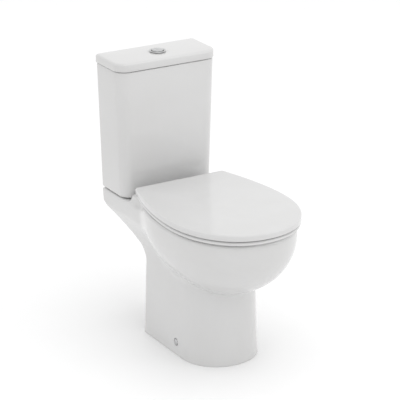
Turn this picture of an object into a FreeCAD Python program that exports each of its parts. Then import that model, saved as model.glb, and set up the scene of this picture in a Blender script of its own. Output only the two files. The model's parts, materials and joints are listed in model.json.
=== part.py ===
import FreeCAD, Part
import math
import os

# Close coupled toilet: pan, cistern, seat and cover, with the fittings that hold and work them.
# Millimetres, +Z up, the user faces +Y. The origin is on the floor, at the middle of the
# width and of the overall depth. Depths named "..._d" are measured forwards from the wall.

Vector = FreeCAD.Vector
ACROSS = Vector(1, 0, 0)
UP = Vector(0, 0, 1)

# ---- overall ----
overall_depth = 668.0          # wall to the nose of the cover
lid_top_z = 785.0
ceramic = 12.0                 # wall of the pan
joint_gap = 0.3                # between pieces of different moving bodies
run_clearance = 0.05           # radial, pin in a bore that turns
slide_clearance = 0.5          # radial, rod in a guide

# ---- pan: foot, stem and shelf ----
foot_half_width = 113.0
foot_back_d = 181.0
foot_front_d = 507.5
stem_half_width = 108.5        # narrowest, under the bowl
stem_top_z = 225.0             # where the back starts to sweep out to the shelf
stem_back_d = 187.0
stem_front_d = 496.0
shelf_half_width = 146.0
shelf_z = 388.0                # top of the shelf that carries the cistern
shelf_edge = 46.0              # height of the shelf's side edge
shelf_slab = 14.0
wing_wall = 9.0                # wall of the wings that carry the shelf
deck_z = 410.0                 # rim and hinge deck
deck_back_d = 148.0

# ---- pan: bowl ----
bowl_centre_d = 440.0
bowl_half_width = 178.0
bowl_front = 215.0             # centre to the nose of the rim
bowl_rear = 250.0              # centre to the back of the bowl
bowl_spring_z = 385.0          # where the side starts to curve under
bowl_depth = 180.0
rim_opening_inset = 42.0
rim_lip = 13.0

# ---- pan: trap and outlet ----
trap_bore_r = 40.0
trap_wall = 9.0
trap_bend_r = 52.0
trap_dip_z = 100.0
trap_crown_z = 240.0
outlet_z = 190.0
outlet_end_d = 112.0
spigot_r = 51.0
spigot_length = 40.0

# ---- cistern and lid ----
cistern_back_d = 2.0
cistern_base_z = 390.0
cistern_base_half_width = 144.5
cistern_base_depth = 136.5
cistern_top_half_width = 156.0
cistern_top_depth = 136.5
cistern_wall = 10.0
cistern_corner_r = 35.0
cistern_back_corner_r = 8.0
lid_half_width = 158.5
lid_depth = 140.5
lid_height = 27.0
lid_top_thickness = 11.0
lid_lip = 8.0                  # how far the locating lip hangs into the cistern
wall_hole_r = 4.0
wall_hole_spacing = 190.0
wall_hole_z = 690.0

# ---- cistern to pan joint and the valves ----
valve_d = 75.0                 # flush valve, inlet and coupling bolts stand on this line
coupling_bolt_x = 76.0
coupling_bolt_r = 4.0
coupling_hole_r = 6.0
inlet_x = 103.0
inlet_shank_r = 10.48          # half inch pipe thread
inlet_shank_end_z = 345.0
inlet_tail_length = 36.0       # free thread below the backnut
inlet_nut_r = 10.7             # thread that the backnut holds
inlet_clearance_r = 20.0
flush_shank_r = 29.8
flush_bore_r = 25.0
flush_nut_r = 40.0
doughnut_r = 48.0
socket_r = 49.0                # recess in the shelf for the doughnut washer
socket_depth = 24.0
duct_half_width = 32.0
duct_height = 26.0
tower_r = 42.0
tower_wall = 3.0
tower_top_z = 706.0
tower_head = 18.0
plunger_r = 33.0
overflow_r = 13.0
overflow_top_z = 640.0
plunger_travel = 12.0

# ---- fill valve ----
riser_r = 12.0
riser_top_z = 640.0
valve_head_r = 19.0
valve_head_height = 40.0
float_r = 27.0
float_height = 60.0
float_low_z = 540.0
float_travel = 20.0
lever_length = 40.0
link_gap = 1.5
lever_thickness = 5.0

# ---- flush buttons ----
bezel_r = 24.0
bezel_height = 4.0
barrel_r = 19.5
cap_r = 17.0
cap_proud = 7.0
cap_height = 12.0
cap_split_x = -4.0             # the smaller, half-flush cap is left of this line
cap_gap = 0.4
rod_r = 2.5
rod_x = 9.0
barrel_length = 36.0
button_travel = 6.0

# ---- seat and cover ----
rim_gap = 4.0
ring_thickness = 11.0
ring_cover_gap = 2.0
cover_rear_d = 191.0
cover_widest_d = 440.0
cover_half_width = 186.0
cover_rear_half_width = 158.0
cover_corner_r = 14.0
cover_height = 19.0
cover_skin = 6.0
ring_inset = 2.0
ring_rear_inset = 6.0
ring_hole_half_width = 113.0
ring_hole_front = 150.0
ring_hole_rear = 140.0
buffer_r = 8.0

# ---- hinge ----
hinge_x = 78.0
axis_d = 180.0
barrel_hinge_r = 9.0
post_width = 22.0             # the foot of the post is as wide
lug_width = 14.0
lug_gap = 0.5
hinge_pin_r = 4.0
post_d = 172.0
post_base_height = 6.0
hinge_washer = 1.0
stud_r = 4.0
stud_end_z = 352.0
stud_hole_r = 8.0

# ---- floor fixing ----
fixing_d = 363.0
fixing_z = 37.0
fixing_recess_r = 11.0
fixing_recess = 5.0
fixing_hole_r = 4.5
side_cap_r = 8.8
cap_dome = 3.5
bracket_width = 30.0
bracket_thickness = 3.0
bracket_height = 60.0
bracket_foot = 42.0
floor_hole_r = 4.0
floor_hole_x = 76.0

# ---- worked out from the sizes above ----
wall_y = overall_depth / 2
lid_z = lid_top_z - lid_height
cistern_floor_z = cistern_base_z + cistern_wall
slab_z = shelf_z - shelf_slab
ring_z = deck_z + rim_gap
ring_top_z = ring_z + ring_thickness
cover_z = ring_top_z + ring_cover_gap
axis_z = cover_z
valve_y = wall_y - valve_d
bowl_y = wall_y - bowl_centre_d
axis_y = wall_y - axis_d
socket_z = shelf_z - socket_depth
lever_angle = math.degrees(math.asin(float_travel / (2 * lever_length)))


# ---- small helpers ----
def y_at(d):
    """y of a point this far in front of the wall."""
    return wall_y - d


def cylinder(radius, z_low, z_high, x=0.0, y=0.0):
    return Part.makeCylinder(radius, z_high - z_low, Vector(x, y, z_low))


def tube(outer, inner, z_low, z_high, x=0.0, y=0.0):
    return cylinder(outer, z_low, z_high, x, y).cut(cylinder(inner, z_low, z_high, x, y))


def rod_x_axis(radius, x_low, x_high, y, z):
    return Part.makeCylinder(radius, x_high - x_low, Vector(x_low, y, z), ACROSS)


def box(x_low, x_high, y_low, y_high, z_low, z_high):
    corner = Vector(x_low, y_low, z_low)
    return Part.makeBox(x_high - x_low, y_high - y_low, z_high - z_low, corner)


def hexagon(across_corners_r, z_low, z_high, x, y):
    points = [Vector(x + across_corners_r * math.cos(math.radians(a)),
                     y + across_corners_r * math.sin(math.radians(a)), z_low)
              for a in range(30, 391, 60)]
    return Part.Face(Part.makePolygon(points)).extrude(UP * (z_high - z_low))


def pair(make):
    """The same piece on the left and on the right, as two solids."""
    return Part.makeCompound([make(-1), make(1)])


def rounded_box_wire(half_width, back_d, front_d, back_r, front_r, z):
    """Plan outline: straight sides, a small radius at the wall and a larger one in front."""
    yb, yf = y_at(back_d), y_at(front_d)
    corners = [(half_width, yb, back_r), (-half_width, yb, back_r),
               (-half_width, yf, front_r), (half_width, yf, front_r)]
    bevel = 1 - math.sqrt(0.5)
    edges = []
    starts, ends, mids = [], [], []
    for index, (x, y, r) in enumerate(corners):
        sx, sy = math.copysign(1, x), (1 if index < 2 else -1)
        on_side = Vector(x, y - sy * r, z)
        on_end = Vector(x - sx * r, y, z)
        starts.append(on_side if index % 2 == 0 else on_end)
        ends.append(on_end if index % 2 == 0 else on_side)
        mids.append(Vector(x - sx * bevel * r, y - sy * bevel * r, z))
    for index in range(4):
        edges.append(Part.Arc(starts[index], mids[index], ends[index]).toShape())
        edges.append(Part.makeLine(ends[index], starts[(index + 1) % 4]))
    return Part.Wire(edges)


def oval_point(angle, half_width, front, rear, front_power, rear_power):
    """A point of a superellipse whose front and rear halves differ."""
    c, s = math.cos(angle), math.sin(angle)
    power = rear_power if s > 0 else front_power
    reach = rear if s > 0 else front
    x = math.copysign(abs(c) ** (2 / power), c) * half_width
    y = math.copysign(abs(s) ** (2 / power), s) * reach
    return x, y


def oval_wire(half_width, front, rear, z, front_power=2.15, rear_power=3.0, count=40):
    points = []
    for index in range(count):
        x, y = oval_point(2 * math.pi * index / count, half_width, front, rear,
                          front_power, rear_power)
        points.append(Vector(x, bowl_y + y, z))
    curve = Part.BSplineCurve()
    curve.interpolate(Points=points, PeriodicFlag=True)
    return Part.Wire(curve.toShape())


def cover_wire(inset, rear_inset, z):
    """Outline of the cover: straight rear edge, round corners, sides that swell, oval nose."""
    rear_y = y_at(cover_rear_d + rear_inset)
    centre_y = y_at(cover_widest_d)
    wide = cover_half_width - inset
    rear_half = cover_rear_half_width - inset
    r = cover_corner_r - min(inset, cover_corner_r / 2)
    front = overall_depth - cover_widest_d - inset
    side_start_y = rear_y - r
    right = []
    for index in range(6):
        t = index / 6
        y = side_start_y + (centre_y - side_start_y) * t
        right.append((wide - (wide - rear_half) * (1 - t) ** 1.8, y))
    for index in range(9):
        x, y = oval_point(-math.pi / 2 * index / 9, wide, front, front, 2.15, 2.15)
        right.append((x, centre_y + y))
    nose = [(0.0, centre_y - front)]
    left = [(-x, y) for x, y in reversed(right)]
    points = [Vector(x, y, z) for x, y in right + nose + left]
    curve = Part.BSplineCurve()
    slope = Vector(0.2, -1, 0)
    curve.interpolate(Points=points, InitialTangent=slope, FinalTangent=Vector(slope.x, 1, 0))
    bevel = r * (1 - math.sqrt(0.5))
    rear_right = Vector(rear_half - r, rear_y, z)
    rear_left = Vector(r - rear_half, rear_y, z)
    corner_left = Vector(bevel - rear_half, rear_y - bevel, z)
    corner_right = Vector(rear_half - bevel, rear_y - bevel, z)
    return Part.Wire([
        curve.toShape(),
        Part.Arc(points[-1], corner_left, rear_left).toShape(),
        Part.makeLine(rear_left, rear_right),
        Part.Arc(rear_right, corner_right, points[0]).toShape()])


def loft(wires):
    return Part.makeLoft(wires, True, True)


def swept_tube(points, bend_r, radius):
    """Round bar along straight runs in the middle plane, joined by tangent arcs."""
    corners = [Vector(0, y_at(d), z) for d, z in points]
    edges = []
    start = corners[0]
    for before, here, after in zip(corners, corners[1:], corners[2:]):
        a = (before - here).normalize()
        b = (after - here).normalize()
        half_turn = (math.pi - a.getAngle(b)) / 2
        reach = bend_r * math.tan(half_turn)
        first, last = here + a * reach, here + b * reach
        middle_way = (a + b).normalize()
        middle = here + middle_way * (bend_r / math.cos(half_turn) - bend_r)
        edges.append(Part.makeLine(start, first))
        edges.append(Part.Arc(first, middle, last).toShape())
        start = last
    edges.append(Part.makeLine(start, corners[-1]))
    path = Part.Wire(edges)
    circle = Part.Wire(Part.makeCircle(radius, corners[0], corners[1] - corners[0]))
    return path.makePipeShell([circle], True, False)


# ---- pan ----
def stem_levels():
    """Height, half width, back and front of the foot, the stem and the sweep to the shelf."""
    shelf_low_z = shelf_z - shelf_edge
    levels = [(0.0, foot_half_width, foot_back_d, foot_front_d),
              (stem_top_z, stem_half_width, stem_back_d, stem_front_d)]
    for t, run in ((0.15, 0.03), (0.32, 0.12), (0.55, 0.42), (0.78, 0.72), (1.0, 1.0)):
        z = stem_top_z + (shelf_low_z - stem_top_z) * t
        half = stem_half_width + (shelf_half_width - 3 - stem_half_width) * t ** 2.2
        back = stem_back_d * (1 - run) + 4 * run
        front = stem_front_d - (stem_front_d - bowl_centre_d) * t
        levels.append((z, half, back, front))
    levels.append((shelf_z, shelf_half_width, 1.0, bowl_centre_d))
    return levels


def stem_solid():
    return loft([rounded_box_wire(half, back, front, 8.0, half * 0.97, z)
                 for z, half, back, front in stem_levels()])


def stem_hollow():
    """The space inside the stem, open to the floor and to the wall."""
    wires = []
    for z, half, back, front in stem_levels():
        inner = half - (wing_wall if z > stem_top_z else ceramic)
        level = -1.0 if z == 0 else min(z, slab_z)
        wires.append(rounded_box_wire(inner, back - 40, front - ceramic, 4.0, inner * 0.97, level))
    return loft(wires)


def bowl_solid():
    """Outside of the bowl: an oval that curves under like a quarter ellipse."""
    wires = []
    for angle in (80, 66, 54, 43, 33, 23, 13, 5):
        k = math.cos(math.radians(angle))
        z = bowl_spring_z - bowl_depth * math.sin(math.radians(angle))
        wires.append(oval_wire(bowl_half_width * k, bowl_front * k, bowl_rear * k, z))
    for z, inset in ((bowl_spring_z, 0), (deck_z - 6, 0), (deck_z - 2, 1.5), (deck_z, 5.0)):
        wires.append(oval_wire(bowl_half_width - inset, bowl_front - inset, bowl_rear - inset, z))
    return loft(wires)


def bowl_void():
    """Inside of the bowl, with the undercut below the lip of the rim."""
    half, front, rear = (size - ceramic for size in (bowl_half_width, bowl_front, bowl_rear))
    depth = bowl_depth - ceramic
    wires = []
    for angle in (82, 68, 55, 42, 30, 18, 7):
        k = math.cos(math.radians(angle))
        z = bowl_spring_z - depth * math.sin(math.radians(angle))
        wires.append(oval_wire(half * k, front * k, rear * k, z))
    wires.append(oval_wire(half, front, rear, deck_z - rim_lip))
    opening = [oval_wire(bowl_half_width - rim_opening_inset, bowl_front - rim_opening_inset,
                         bowl_rear - rim_opening_inset - 20, z)
               for z in (deck_z - rim_lip - 4, deck_z + 1)]
    return loft(wires).fuse(loft(opening))


def trap_path():
    """Corners of the trap, from the sump to the outlet; the spigot's stretch is straight."""
    end = outlet_end_d
    return [(445.0, 262.0), (430.0, trap_dip_z), (end + 217, trap_dip_z),
            (end + 166, trap_crown_z), (end + 100, trap_crown_z), (end + 69, outlet_z),
            (end, outlet_z)]


def pan_duct_shape(margin):
    """Way of the flush from the socket in the shelf to the back of the bowl."""
    low = socket_z - duct_height - margin
    high = socket_z + margin
    half = duct_half_width + margin
    run = box(-half, half, y_at(bowl_centre_d - bowl_rear + 28), valve_y, low, high)
    return run.fuse(cylinder(half, low, high, 0, valve_y))


def pan_voids():
    """What is cut out of all three parts of the pan: bowl, trap, flush way and its socket."""
    return [bowl_void(), swept_tube(trap_path(), trap_bend_r, trap_bore_r), pan_duct_shape(0),
            cylinder(socket_r, socket_z, shelf_z + 1, 0, valve_y)]


def stud_holes():
    return [cylinder(stud_hole_r, slab_z - 5, deck_z + 1, side * hinge_x, y_at(post_d))
            for side in (-1, 1)]


def cut_all(solid, tools):
    for tool in tools:
        solid = solid.cut(tool)
    return solid


def stem_shell():
    """The stem, its shelf and the deck, hollow below."""
    deck = loft([rounded_box_wire(shelf_half_width, deck_back_d, bowl_centre_d - 40, 10.0, 60.0, z)
                 for z in (slab_z - 2, deck_z)])
    deck_hollow = box(ceramic - shelf_half_width, shelf_half_width - ceramic,
                      y_at(bowl_centre_d - 120), y_at(deck_back_d + ceramic),
                      slab_z - 2, deck_z - shelf_slab)
    return stem_solid().fuse(deck).cut(stem_hollow().fuse(deck_hollow))


# The pan is one casting. It is kept as three nodes that meet face to face, the bowl, the foot
# and the trap, so that each hollow form can be followed closely by its own collision pieces.
def make_pan_bowl():
    return cut_all(bowl_solid(), pan_voids() + stud_holes()).removeSplitter()


def make_pan_foot():
    """Foot, stem, shelf and deck, with the flush way under the shelf."""
    foot = stem_shell().fuse(pan_duct_shape(ceramic - 2))
    foot = foot.fuse(cylinder(socket_r + 10, socket_z - 10, slab_z + 2, 0, valve_y))
    foot = cut_all(foot.cut(bowl_solid()), pan_voids() + stud_holes())
    for side in (-1, 1):
        x_bolt = side * coupling_bolt_x
        foot = foot.cut(cylinder(coupling_hole_r, slab_z - 30, shelf_z + 1, x_bolt, valve_y))
        foot = foot.cut(side_fixing_hole(side))
    foot = foot.cut(cylinder(inlet_clearance_r, slab_z - 30, shelf_z + 1, inlet_x, valve_y))
    return foot.removeSplitter()


def make_pan_trap():
    """Trap and outlet: a bent tube from the sump to the spigot at the back."""
    trap = swept_tube(trap_path(), trap_bend_r, trap_bore_r + trap_wall)
    spigot_start = Vector(0, y_at(outlet_end_d + spigot_length), outlet_z)
    trap = trap.fuse(Part.makeCylinder(spigot_r, spigot_length, spigot_start, Vector(0, 1, 0)))
    return cut_all(trap, [bowl_solid(), stem_shell()] + pan_voids()).removeSplitter()


def foot_half_at(z):
    """Half width of the foot at this height."""
    return foot_half_width + (stem_half_width - foot_half_width) * z / stem_top_z


def side_fixing_hole(side):
    outside = foot_half_at(fixing_z)
    y = y_at(fixing_d)
    if side > 0:
        through = rod_x_axis(fixing_hole_r, outside - 40, outside + 5, y, fixing_z)
        recess = rod_x_axis(fixing_recess_r, outside - fixing_recess, outside + 5, y, fixing_z)
    else:
        through = rod_x_axis(fixing_hole_r, -outside - 5, 40 - outside, y, fixing_z)
        recess = rod_x_axis(fixing_recess_r, -outside - 5, fixing_recess - outside, y, fixing_z)
    return through.fuse(recess)


# ---- cistern ----
def cistern_wire(z, inset, corner_r):
    t = (z - cistern_base_z) / (lid_z - cistern_base_z)
    half = cistern_base_half_width + (cistern_top_half_width - cistern_base_half_width) * t
    front = cistern_back_d + cistern_base_depth + (cistern_top_depth - cistern_base_depth) * t
    back_r = max(cistern_back_corner_r - inset / 2, 2.0)
    return rounded_box_wire(half - inset, cistern_back_d + inset, front - inset,
                            back_r, corner_r - inset * 0.8, z)


def make_cistern():
    outer = loft([cistern_wire(cistern_base_z + rise, inset, cistern_corner_r)
                  for rise, inset in ((0, 8.0), (2, 3.5), (6, 0.8), (11, 0.0))]
                 + [cistern_wire(lid_z, 0.0, cistern_corner_r)])
    inner = loft([cistern_wire(cistern_floor_z, cistern_wall + 5, cistern_corner_r),
                  cistern_wire(cistern_floor_z + 8, cistern_wall, cistern_corner_r),
                  cistern_wire(lid_z + 1, cistern_wall, cistern_corner_r)])
    cistern = outer.cut(inner)
    low, high = cistern_base_z - 1, cistern_floor_z + 1
    cistern = cistern.cut(cylinder(flush_shank_r + 1.5, low, high, 0, valve_y))
    cistern = cistern.cut(cylinder(inlet_shank_r + 1.0, low, high, inlet_x, valve_y))
    for side in (-1, 1):
        cistern = cistern.cut(cylinder(coupling_hole_r, low, high, side * coupling_bolt_x, valve_y))
        hole = Part.makeCylinder(wall_hole_r, cistern_wall + 10,
                                 Vector(side * wall_hole_spacing / 2, y_at(cistern_back_d + cistern_wall + 5),
                                        wall_hole_z), Vector(0, 1, 0))
        cistern = cistern.cut(hole)
    return cistern


def make_cistern_lid():
    steps = ((0, 1.0), (2, 0.0), (lid_height - 8, 0.0), (lid_height - 3.5, 1.6),
             (lid_height - 1, 5.0), (lid_height, 10.0))
    outer = loft([rounded_box_wire(lid_half_width - inset, inset, lid_depth - inset,
                                   9.0 - inset * 0.5, 37.0 - inset * 0.8, lid_z + rise)
                  for rise, inset in steps])
    fit = cistern_wall + 1.5
    lip = loft([cistern_wire(z, fit, cistern_corner_r) for z in (lid_z - lid_lip, lid_z + 3)])
    hollow = loft([cistern_wire(z, fit + 7, cistern_corner_r)
                   for z in (lid_z - lid_lip - 1, lid_top_z - lid_top_thickness)])
    lid = outer.fuse(lip).cut(hollow)
    return lid.cut(cylinder(barrel_r + 0.5, lid_z, lid_top_z + 1, 0, valve_y))


# ---- cistern to pan joint ----
def make_flush_valve_seal_washer():
    return tube(flush_shank_r + 12, flush_shank_r + 0.5, cistern_floor_z, cistern_floor_z + 3,
                0, valve_y)


def make_flush_valve_backnut():
    nut = hexagon(flush_nut_r, cistern_base_z - 13, cistern_base_z, 0, valve_y)
    return nut.cut(cylinder(flush_shank_r, cistern_base_z - 14, cistern_base_z + 1, 0, valve_y))


def make_doughnut_washer():
    """Sponge ring round the backnut that seals the cistern to the socket in the shelf."""
    top = cistern_base_z - joint_gap
    body = cylinder(doughnut_r, socket_z, top, 0, valve_y)
    body = body.cut(cylinder(flush_nut_r + 0.5, cistern_base_z - 13.5, top + 1, 0, valve_y))
    return body.cut(cylinder(flush_shank_r + 0.5, socket_z - 1, top, 0, valve_y))


def make_cistern_pads():
    pads = [cylinder(10, shelf_z, cistern_base_z, x, y_at(d))
            for x in (-112, 112) for d in (28, 112)]
    return Part.makeCompound(pads)


def make_coupling_bolts():
    def bolt(side):
        x = side * coupling_bolt_x
        head_z = cistern_floor_z + 3
        head = hexagon(8.0, head_z, head_z + 5.5, x, valve_y)
        return head.fuse(cylinder(coupling_bolt_r, slab_z - 26, head_z + 1, x, valve_y))
    return pair(bolt)


def make_coupling_rubber_washers():
    def washer(side):
        x = side * coupling_bolt_x
        return tube(10.5, coupling_bolt_r, cistern_floor_z, cistern_floor_z + 3, x, valve_y)
    return pair(washer)


def make_coupling_plate_washers():
    def washer(side):
        return tube(12, coupling_bolt_r, slab_z - 2, slab_z, side * coupling_bolt_x, valve_y)
    return pair(washer)


def wing_nut(x, y, z_top, bore_r, turn=0.0):
    """Round boss with two flat wings, screwed up from below; turn is in degrees."""
    boss = cylinder(bore_r + 4.5, z_top - 9, z_top, x, y)
    wings = box(x - bore_r - 12, x + bore_r + 12, y - 1.5, y + 1.5, z_top - 15, z_top - 3)
    wings.rotate(Vector(x, y, 0), UP, turn)
    nut = boss.fuse(wings)
    return nut.cut(cylinder(bore_r, z_top - 16, z_top + 1, x, y))


def make_coupling_wing_nuts():
    """Their wings stop lengthways, clear of the nut on the water pipe."""
    top = slab_z - 2
    return pair(lambda side: wing_nut(side * coupling_bolt_x, valve_y, top, coupling_bolt_r, 90.0))


# ---- flush valve ----
def make_flush_valve_base():
    flange_z = cistern_floor_z + 3
    body = cylinder(tower_r + 2, flange_z, flange_z + 5, 0, valve_y)
    body = body.fuse(cylinder(flush_shank_r, socket_z + 5, flange_z + 1, 0, valve_y))
    body = body.fuse(cylinder(flush_bore_r + 2.5, flange_z, flange_z + 8, 0, valve_y))
    return body.cut(cylinder(flush_bore_r, socket_z, flange_z + 9, 0, valve_y))


def make_flush_valve_tower():
    """Cage with water windows at its foot and a head with guides for the two push rods."""
    foot = cistern_floor_z + 8
    shell = tube(tower_r, tower_r - tower_wall, foot, tower_top_z - tower_head + 1, 0, valve_y)
    for angle in range(45, 405, 90):
        reach = tower_r + 5
        window = box(5, reach, -13, 13, foot + 5, foot + 75)
        upper = box(5, reach, -9, 9, foot + 110, tower_top_z - tower_head - 40)
        window = window.fuse(upper)
        window.rotate(Vector(0, 0, 0), UP, angle)
        window.translate(Vector(0, valve_y, 0))
        shell = shell.cut(window)
    head = cylinder(tower_r, tower_top_z - tower_head, tower_top_z, 0, valve_y)
    for side in (-1, 1):
        head = head.cut(cylinder(rod_r + slide_clearance, tower_top_z - tower_head + 2,
                                 tower_top_z + 1, side * rod_x, valve_y))
    return shell.fuse(head)


def plunger_z():
    return cistern_floor_z + 3 + 8 + joint_gap


def make_flush_valve_plunger():
    """Disc over the outlet with the open overflow pipe standing on it."""
    disc_z = plunger_z() + 3
    body = cylinder(plunger_r, disc_z, disc_z + 4, 0, valve_y)
    body = body.fuse(cylinder(overflow_r, disc_z, overflow_top_z, 0, valve_y))
    return body.cut(cylinder(overflow_r - 2, disc_z - 1, overflow_top_z + 1, 0, valve_y))


def make_flush_valve_seal():
    return tube(plunger_r - 1, flush_bore_r - 6, plunger_z(), plunger_z() + 3, 0, valve_y)


# ---- fill valve ----
def make_fill_valve_body():
    """Threaded inlet tail, flange and riser."""
    flange_z = cistern_floor_z + 3
    tail_top = inlet_shank_end_z + inlet_tail_length
    body = cylinder(inlet_shank_r, inlet_shank_end_z, tail_top, inlet_x, valve_y)
    body = body.fuse(cylinder(inlet_nut_r, tail_top, flange_z + 1, inlet_x, valve_y))
    body = body.fuse(cylinder(17, flange_z, flange_z + 4, inlet_x, valve_y))
    body = body.fuse(cylinder(riser_r, flange_z, riser_top_z, inlet_x, valve_y))
    return body.cut(cylinder(5.5, inlet_shank_end_z - 1, riser_top_z - 6, inlet_x, valve_y))


def make_fill_valve_washer():
    return tube(16, inlet_nut_r, cistern_floor_z, cistern_floor_z + 3, inlet_x, valve_y)


def make_fill_valve_backnut():
    low, high = cistern_base_z - 8, cistern_base_z
    nut = hexagon(16.5, low, high, inlet_x, valve_y)
    return nut.cut(cylinder(inlet_nut_r, low - 1, high + 1, inlet_x, valve_y))


def lever_pivot():
    return Vector(inlet_x + 14, valve_y, riser_top_z + valve_head_height + 14)


def make_fill_valve_head():
    """Valve head with a fork that carries the lever's pin."""
    top = riser_top_z + valve_head_height
    head = cylinder(valve_head_r, riser_top_z, top, inlet_x, valve_y)
    pivot = lever_pivot()
    for side in (-1, 1):
        inner = side * (lever_thickness / 2 + slide_clearance)
        outer = side * (lever_thickness / 2 + slide_clearance + 3)
        low, high = sorted((pivot.y + inner, pivot.y + outer))
        ear = box(pivot.x - 5, pivot.x + 5, low, high, top - 1, pivot.z + 4)
        head = head.fuse(ear)
    bore = Part.makeCylinder(2.0, 30, pivot - Vector(0, 15, 0), Vector(0, 1, 0))
    return head.cut(bore)


def make_lever_pin():
    half = lever_thickness / 2 + slide_clearance + 3
    return Part.makeCylinder(2.0, 2 * half, lever_pivot() - Vector(0, half, 0), Vector(0, 1, 0))


def make_float_lever():
    """Arm that the float's link lifts. At rest its free end hangs down by lever_angle."""
    pivot = lever_pivot()
    half = lever_thickness / 2
    arm = box(pivot.x - lever_length - 4, pivot.x, pivot.y - half, pivot.y + half,
              pivot.z - 2.5, pivot.z + 2.5)
    hub = Part.makeCylinder(5, lever_thickness, pivot - Vector(0, half, 0), Vector(0, 1, 0))
    arm = arm.fuse(hub)
    bore = Part.makeCylinder(2.0 + run_clearance, 30, pivot - Vector(0, 15, 0), Vector(0, 1, 0))
    arm = arm.cut(bore)
    arm.rotate(pivot, Vector(0, 1, 0), -lever_angle)
    return arm


def make_float_cup():
    """Hollow float that slides on the riser, with the link that reaches up to the lever."""
    low, high = float_low_z, float_low_z + float_height
    cup = cylinder(float_r, low, high, inlet_x, valve_y)
    cup = cup.cut(cylinder(riser_r + 1.5, low - 1, high + 1, inlet_x, valve_y))
    cup = cup.cut(tube(float_r - 2.5, riser_r + 4, low - 1, high - 3, inlet_x, valve_y))
    tip = lever_pivot()
    drop = lever_length * math.sin(math.radians(lever_angle))
    link_x = tip.x - lever_length * math.cos(math.radians(lever_angle))
    link_top = tip.z - drop - 2.5 - link_gap
    link = cylinder(2.0, high - 2, link_top, link_x, valve_y)
    return cup.fuse(link)


# ---- flush buttons ----
def make_button_bezel():
    """Ring on the lid with a threaded barrel through it, and a web that guides the rods."""
    low = lid_top_z - barrel_length
    body = cylinder(bezel_r, lid_top_z, lid_top_z + bezel_height, 0, valve_y)
    body = body.fuse(cylinder(barrel_r, low, lid_top_z + 1, 0, valve_y))
    body = body.cut(cylinder(cap_r + 0.6, low + 4, lid_top_z + bezel_height + 1, 0, valve_y))
    for side in (-1, 1):
        body = body.cut(cylinder(rod_r + slide_clearance, low - 1, low + 5, side * rod_x, valve_y))
    return body


def make_button_clamp_nut():
    top = lid_top_z - lid_top_thickness
    return tube(bezel_r + 3, barrel_r, top - 8, top, 0, valve_y)


def cap_blank():
    """Polished cap with a softly rounded top edge, before it is split in two."""
    top = lid_top_z + cap_proud
    blank = cylinder(cap_r, top - cap_height, top, 0, valve_y)
    edges = [edge for edge in blank.Edges
             if edge.BoundBox.ZMin > top - 0.01 and edge.BoundBox.ZMax < top + 0.01]
    return blank.makeFillet(2.0, edges)


def push_rod(side):
    top = lid_top_z + cap_proud - cap_height + 1
    low = tower_top_z - tower_head + 2 + button_travel + 2
    return cylinder(rod_r, low, top, side * rod_x, valve_y)


def make_full_flush_button():
    keep = box(cap_split_x + cap_gap / 2, cap_r + 1, valve_y - cap_r - 1, valve_y + cap_r + 1,
               lid_z, lid_top_z + 20)
    return cap_blank().common(keep).fuse(push_rod(1))


def make_half_flush_button():
    keep = box(-cap_r - 1, cap_split_x - cap_gap / 2, valve_y - cap_r - 1, valve_y + cap_r + 1,
               lid_z, lid_top_z + 20)
    return cap_blank().common(keep).fuse(push_rod(-1))


# ---- seat and cover ----
def make_seat_ring():
    steps = ((0, 4.0), (3, 0.5), (6, 0.0), (9, 1.5), (ring_thickness, 6.0))
    ring = loft([cover_wire(inset + ring_inset, inset + ring_rear_inset, ring_z + rise)
                 for rise, inset in steps])
    hole_steps = ((-1, 0.0), (4, 0.0), (ring_thickness + 0.5, 7.0))
    hole = loft([oval_wire(ring_hole_half_width + flare, ring_hole_front + flare,
                           ring_hole_rear + flare, ring_z + rise, 2.1, 2.4)
                 for rise, flare in hole_steps])
    return ring.cut(hole)


def make_seat_cover():
    steps = ((0, 1.5), (3, 0.0), (9, 0.4), (13, 3.0), (16, 9.0), (18, 24.0), (cover_height, 60.0))
    cover = loft([cover_wire(inset, min(inset, 12.0), cover_z + rise) for rise, inset in steps])
    hollow = loft([cover_wire(cover_skin + 2, cover_skin, cover_z - 1),
                   cover_wire(cover_skin + 2, cover_skin, cover_z + 6),
                   cover_wire(cover_skin + 16, cover_skin + 10, cover_z + cover_height - cover_skin)])
    return cover.cut(hollow)


def ring_places():
    """Where the buffers sit: two beside the nose and two near the hinge, as x and depth."""
    return [(side * x, d) for side in (-1, 1) for x, d in ((95.0, 600.0), (140.0, 300.0))]


def make_seat_buffers():
    return Part.makeCompound([cylinder(buffer_r, deck_z + joint_gap, ring_z, x, y_at(d))
                              for x, d in ring_places()])


def make_cover_buffers():
    """Rubber feet under the cover, on a rib that reaches down from its skin."""
    top = cover_z + cover_height - cover_skin
    return Part.makeCompound([cylinder(buffer_r - 2, ring_top_z + joint_gap, top, side * 70.0, y_at(618.0))
                              for side in (-1, 1)])


# ---- hinge ----
def hinge_spans(side):
    """x of the post, the seat lug outside it and the cover lug inside it."""
    centre = side * hinge_x
    post = (centre - post_width / 2, centre + post_width / 2)
    outer = post_width / 2 + lug_gap
    seat = sorted((centre + side * outer, centre + side * (outer + lug_width)))
    cover = sorted((centre - side * outer, centre - side * (outer + lug_width)))
    return post, seat, cover


def make_hinge_posts():
    base_z = deck_z + hinge_washer

    def post(side):
        low, high = hinge_spans(side)[0]
        base = cylinder(post_width / 2, base_z, base_z + post_base_height, side * hinge_x, y_at(post_d))
        block = box(low, high, axis_y - 3, axis_y + barrel_hinge_r, base_z + 1, axis_z)
        barrel = rod_x_axis(barrel_hinge_r, low, high, axis_y, axis_z)
        body = base.fuse([block, barrel])
        body = body.cut(rod_x_axis(hinge_pin_r + run_clearance, low - 1, high + 1, axis_y, axis_z))
        return body.cut(cylinder(stud_r, base_z - 1, base_z + post_base_height - 1,
                                 side * hinge_x, y_at(post_d)))
    return pair(post)


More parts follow.
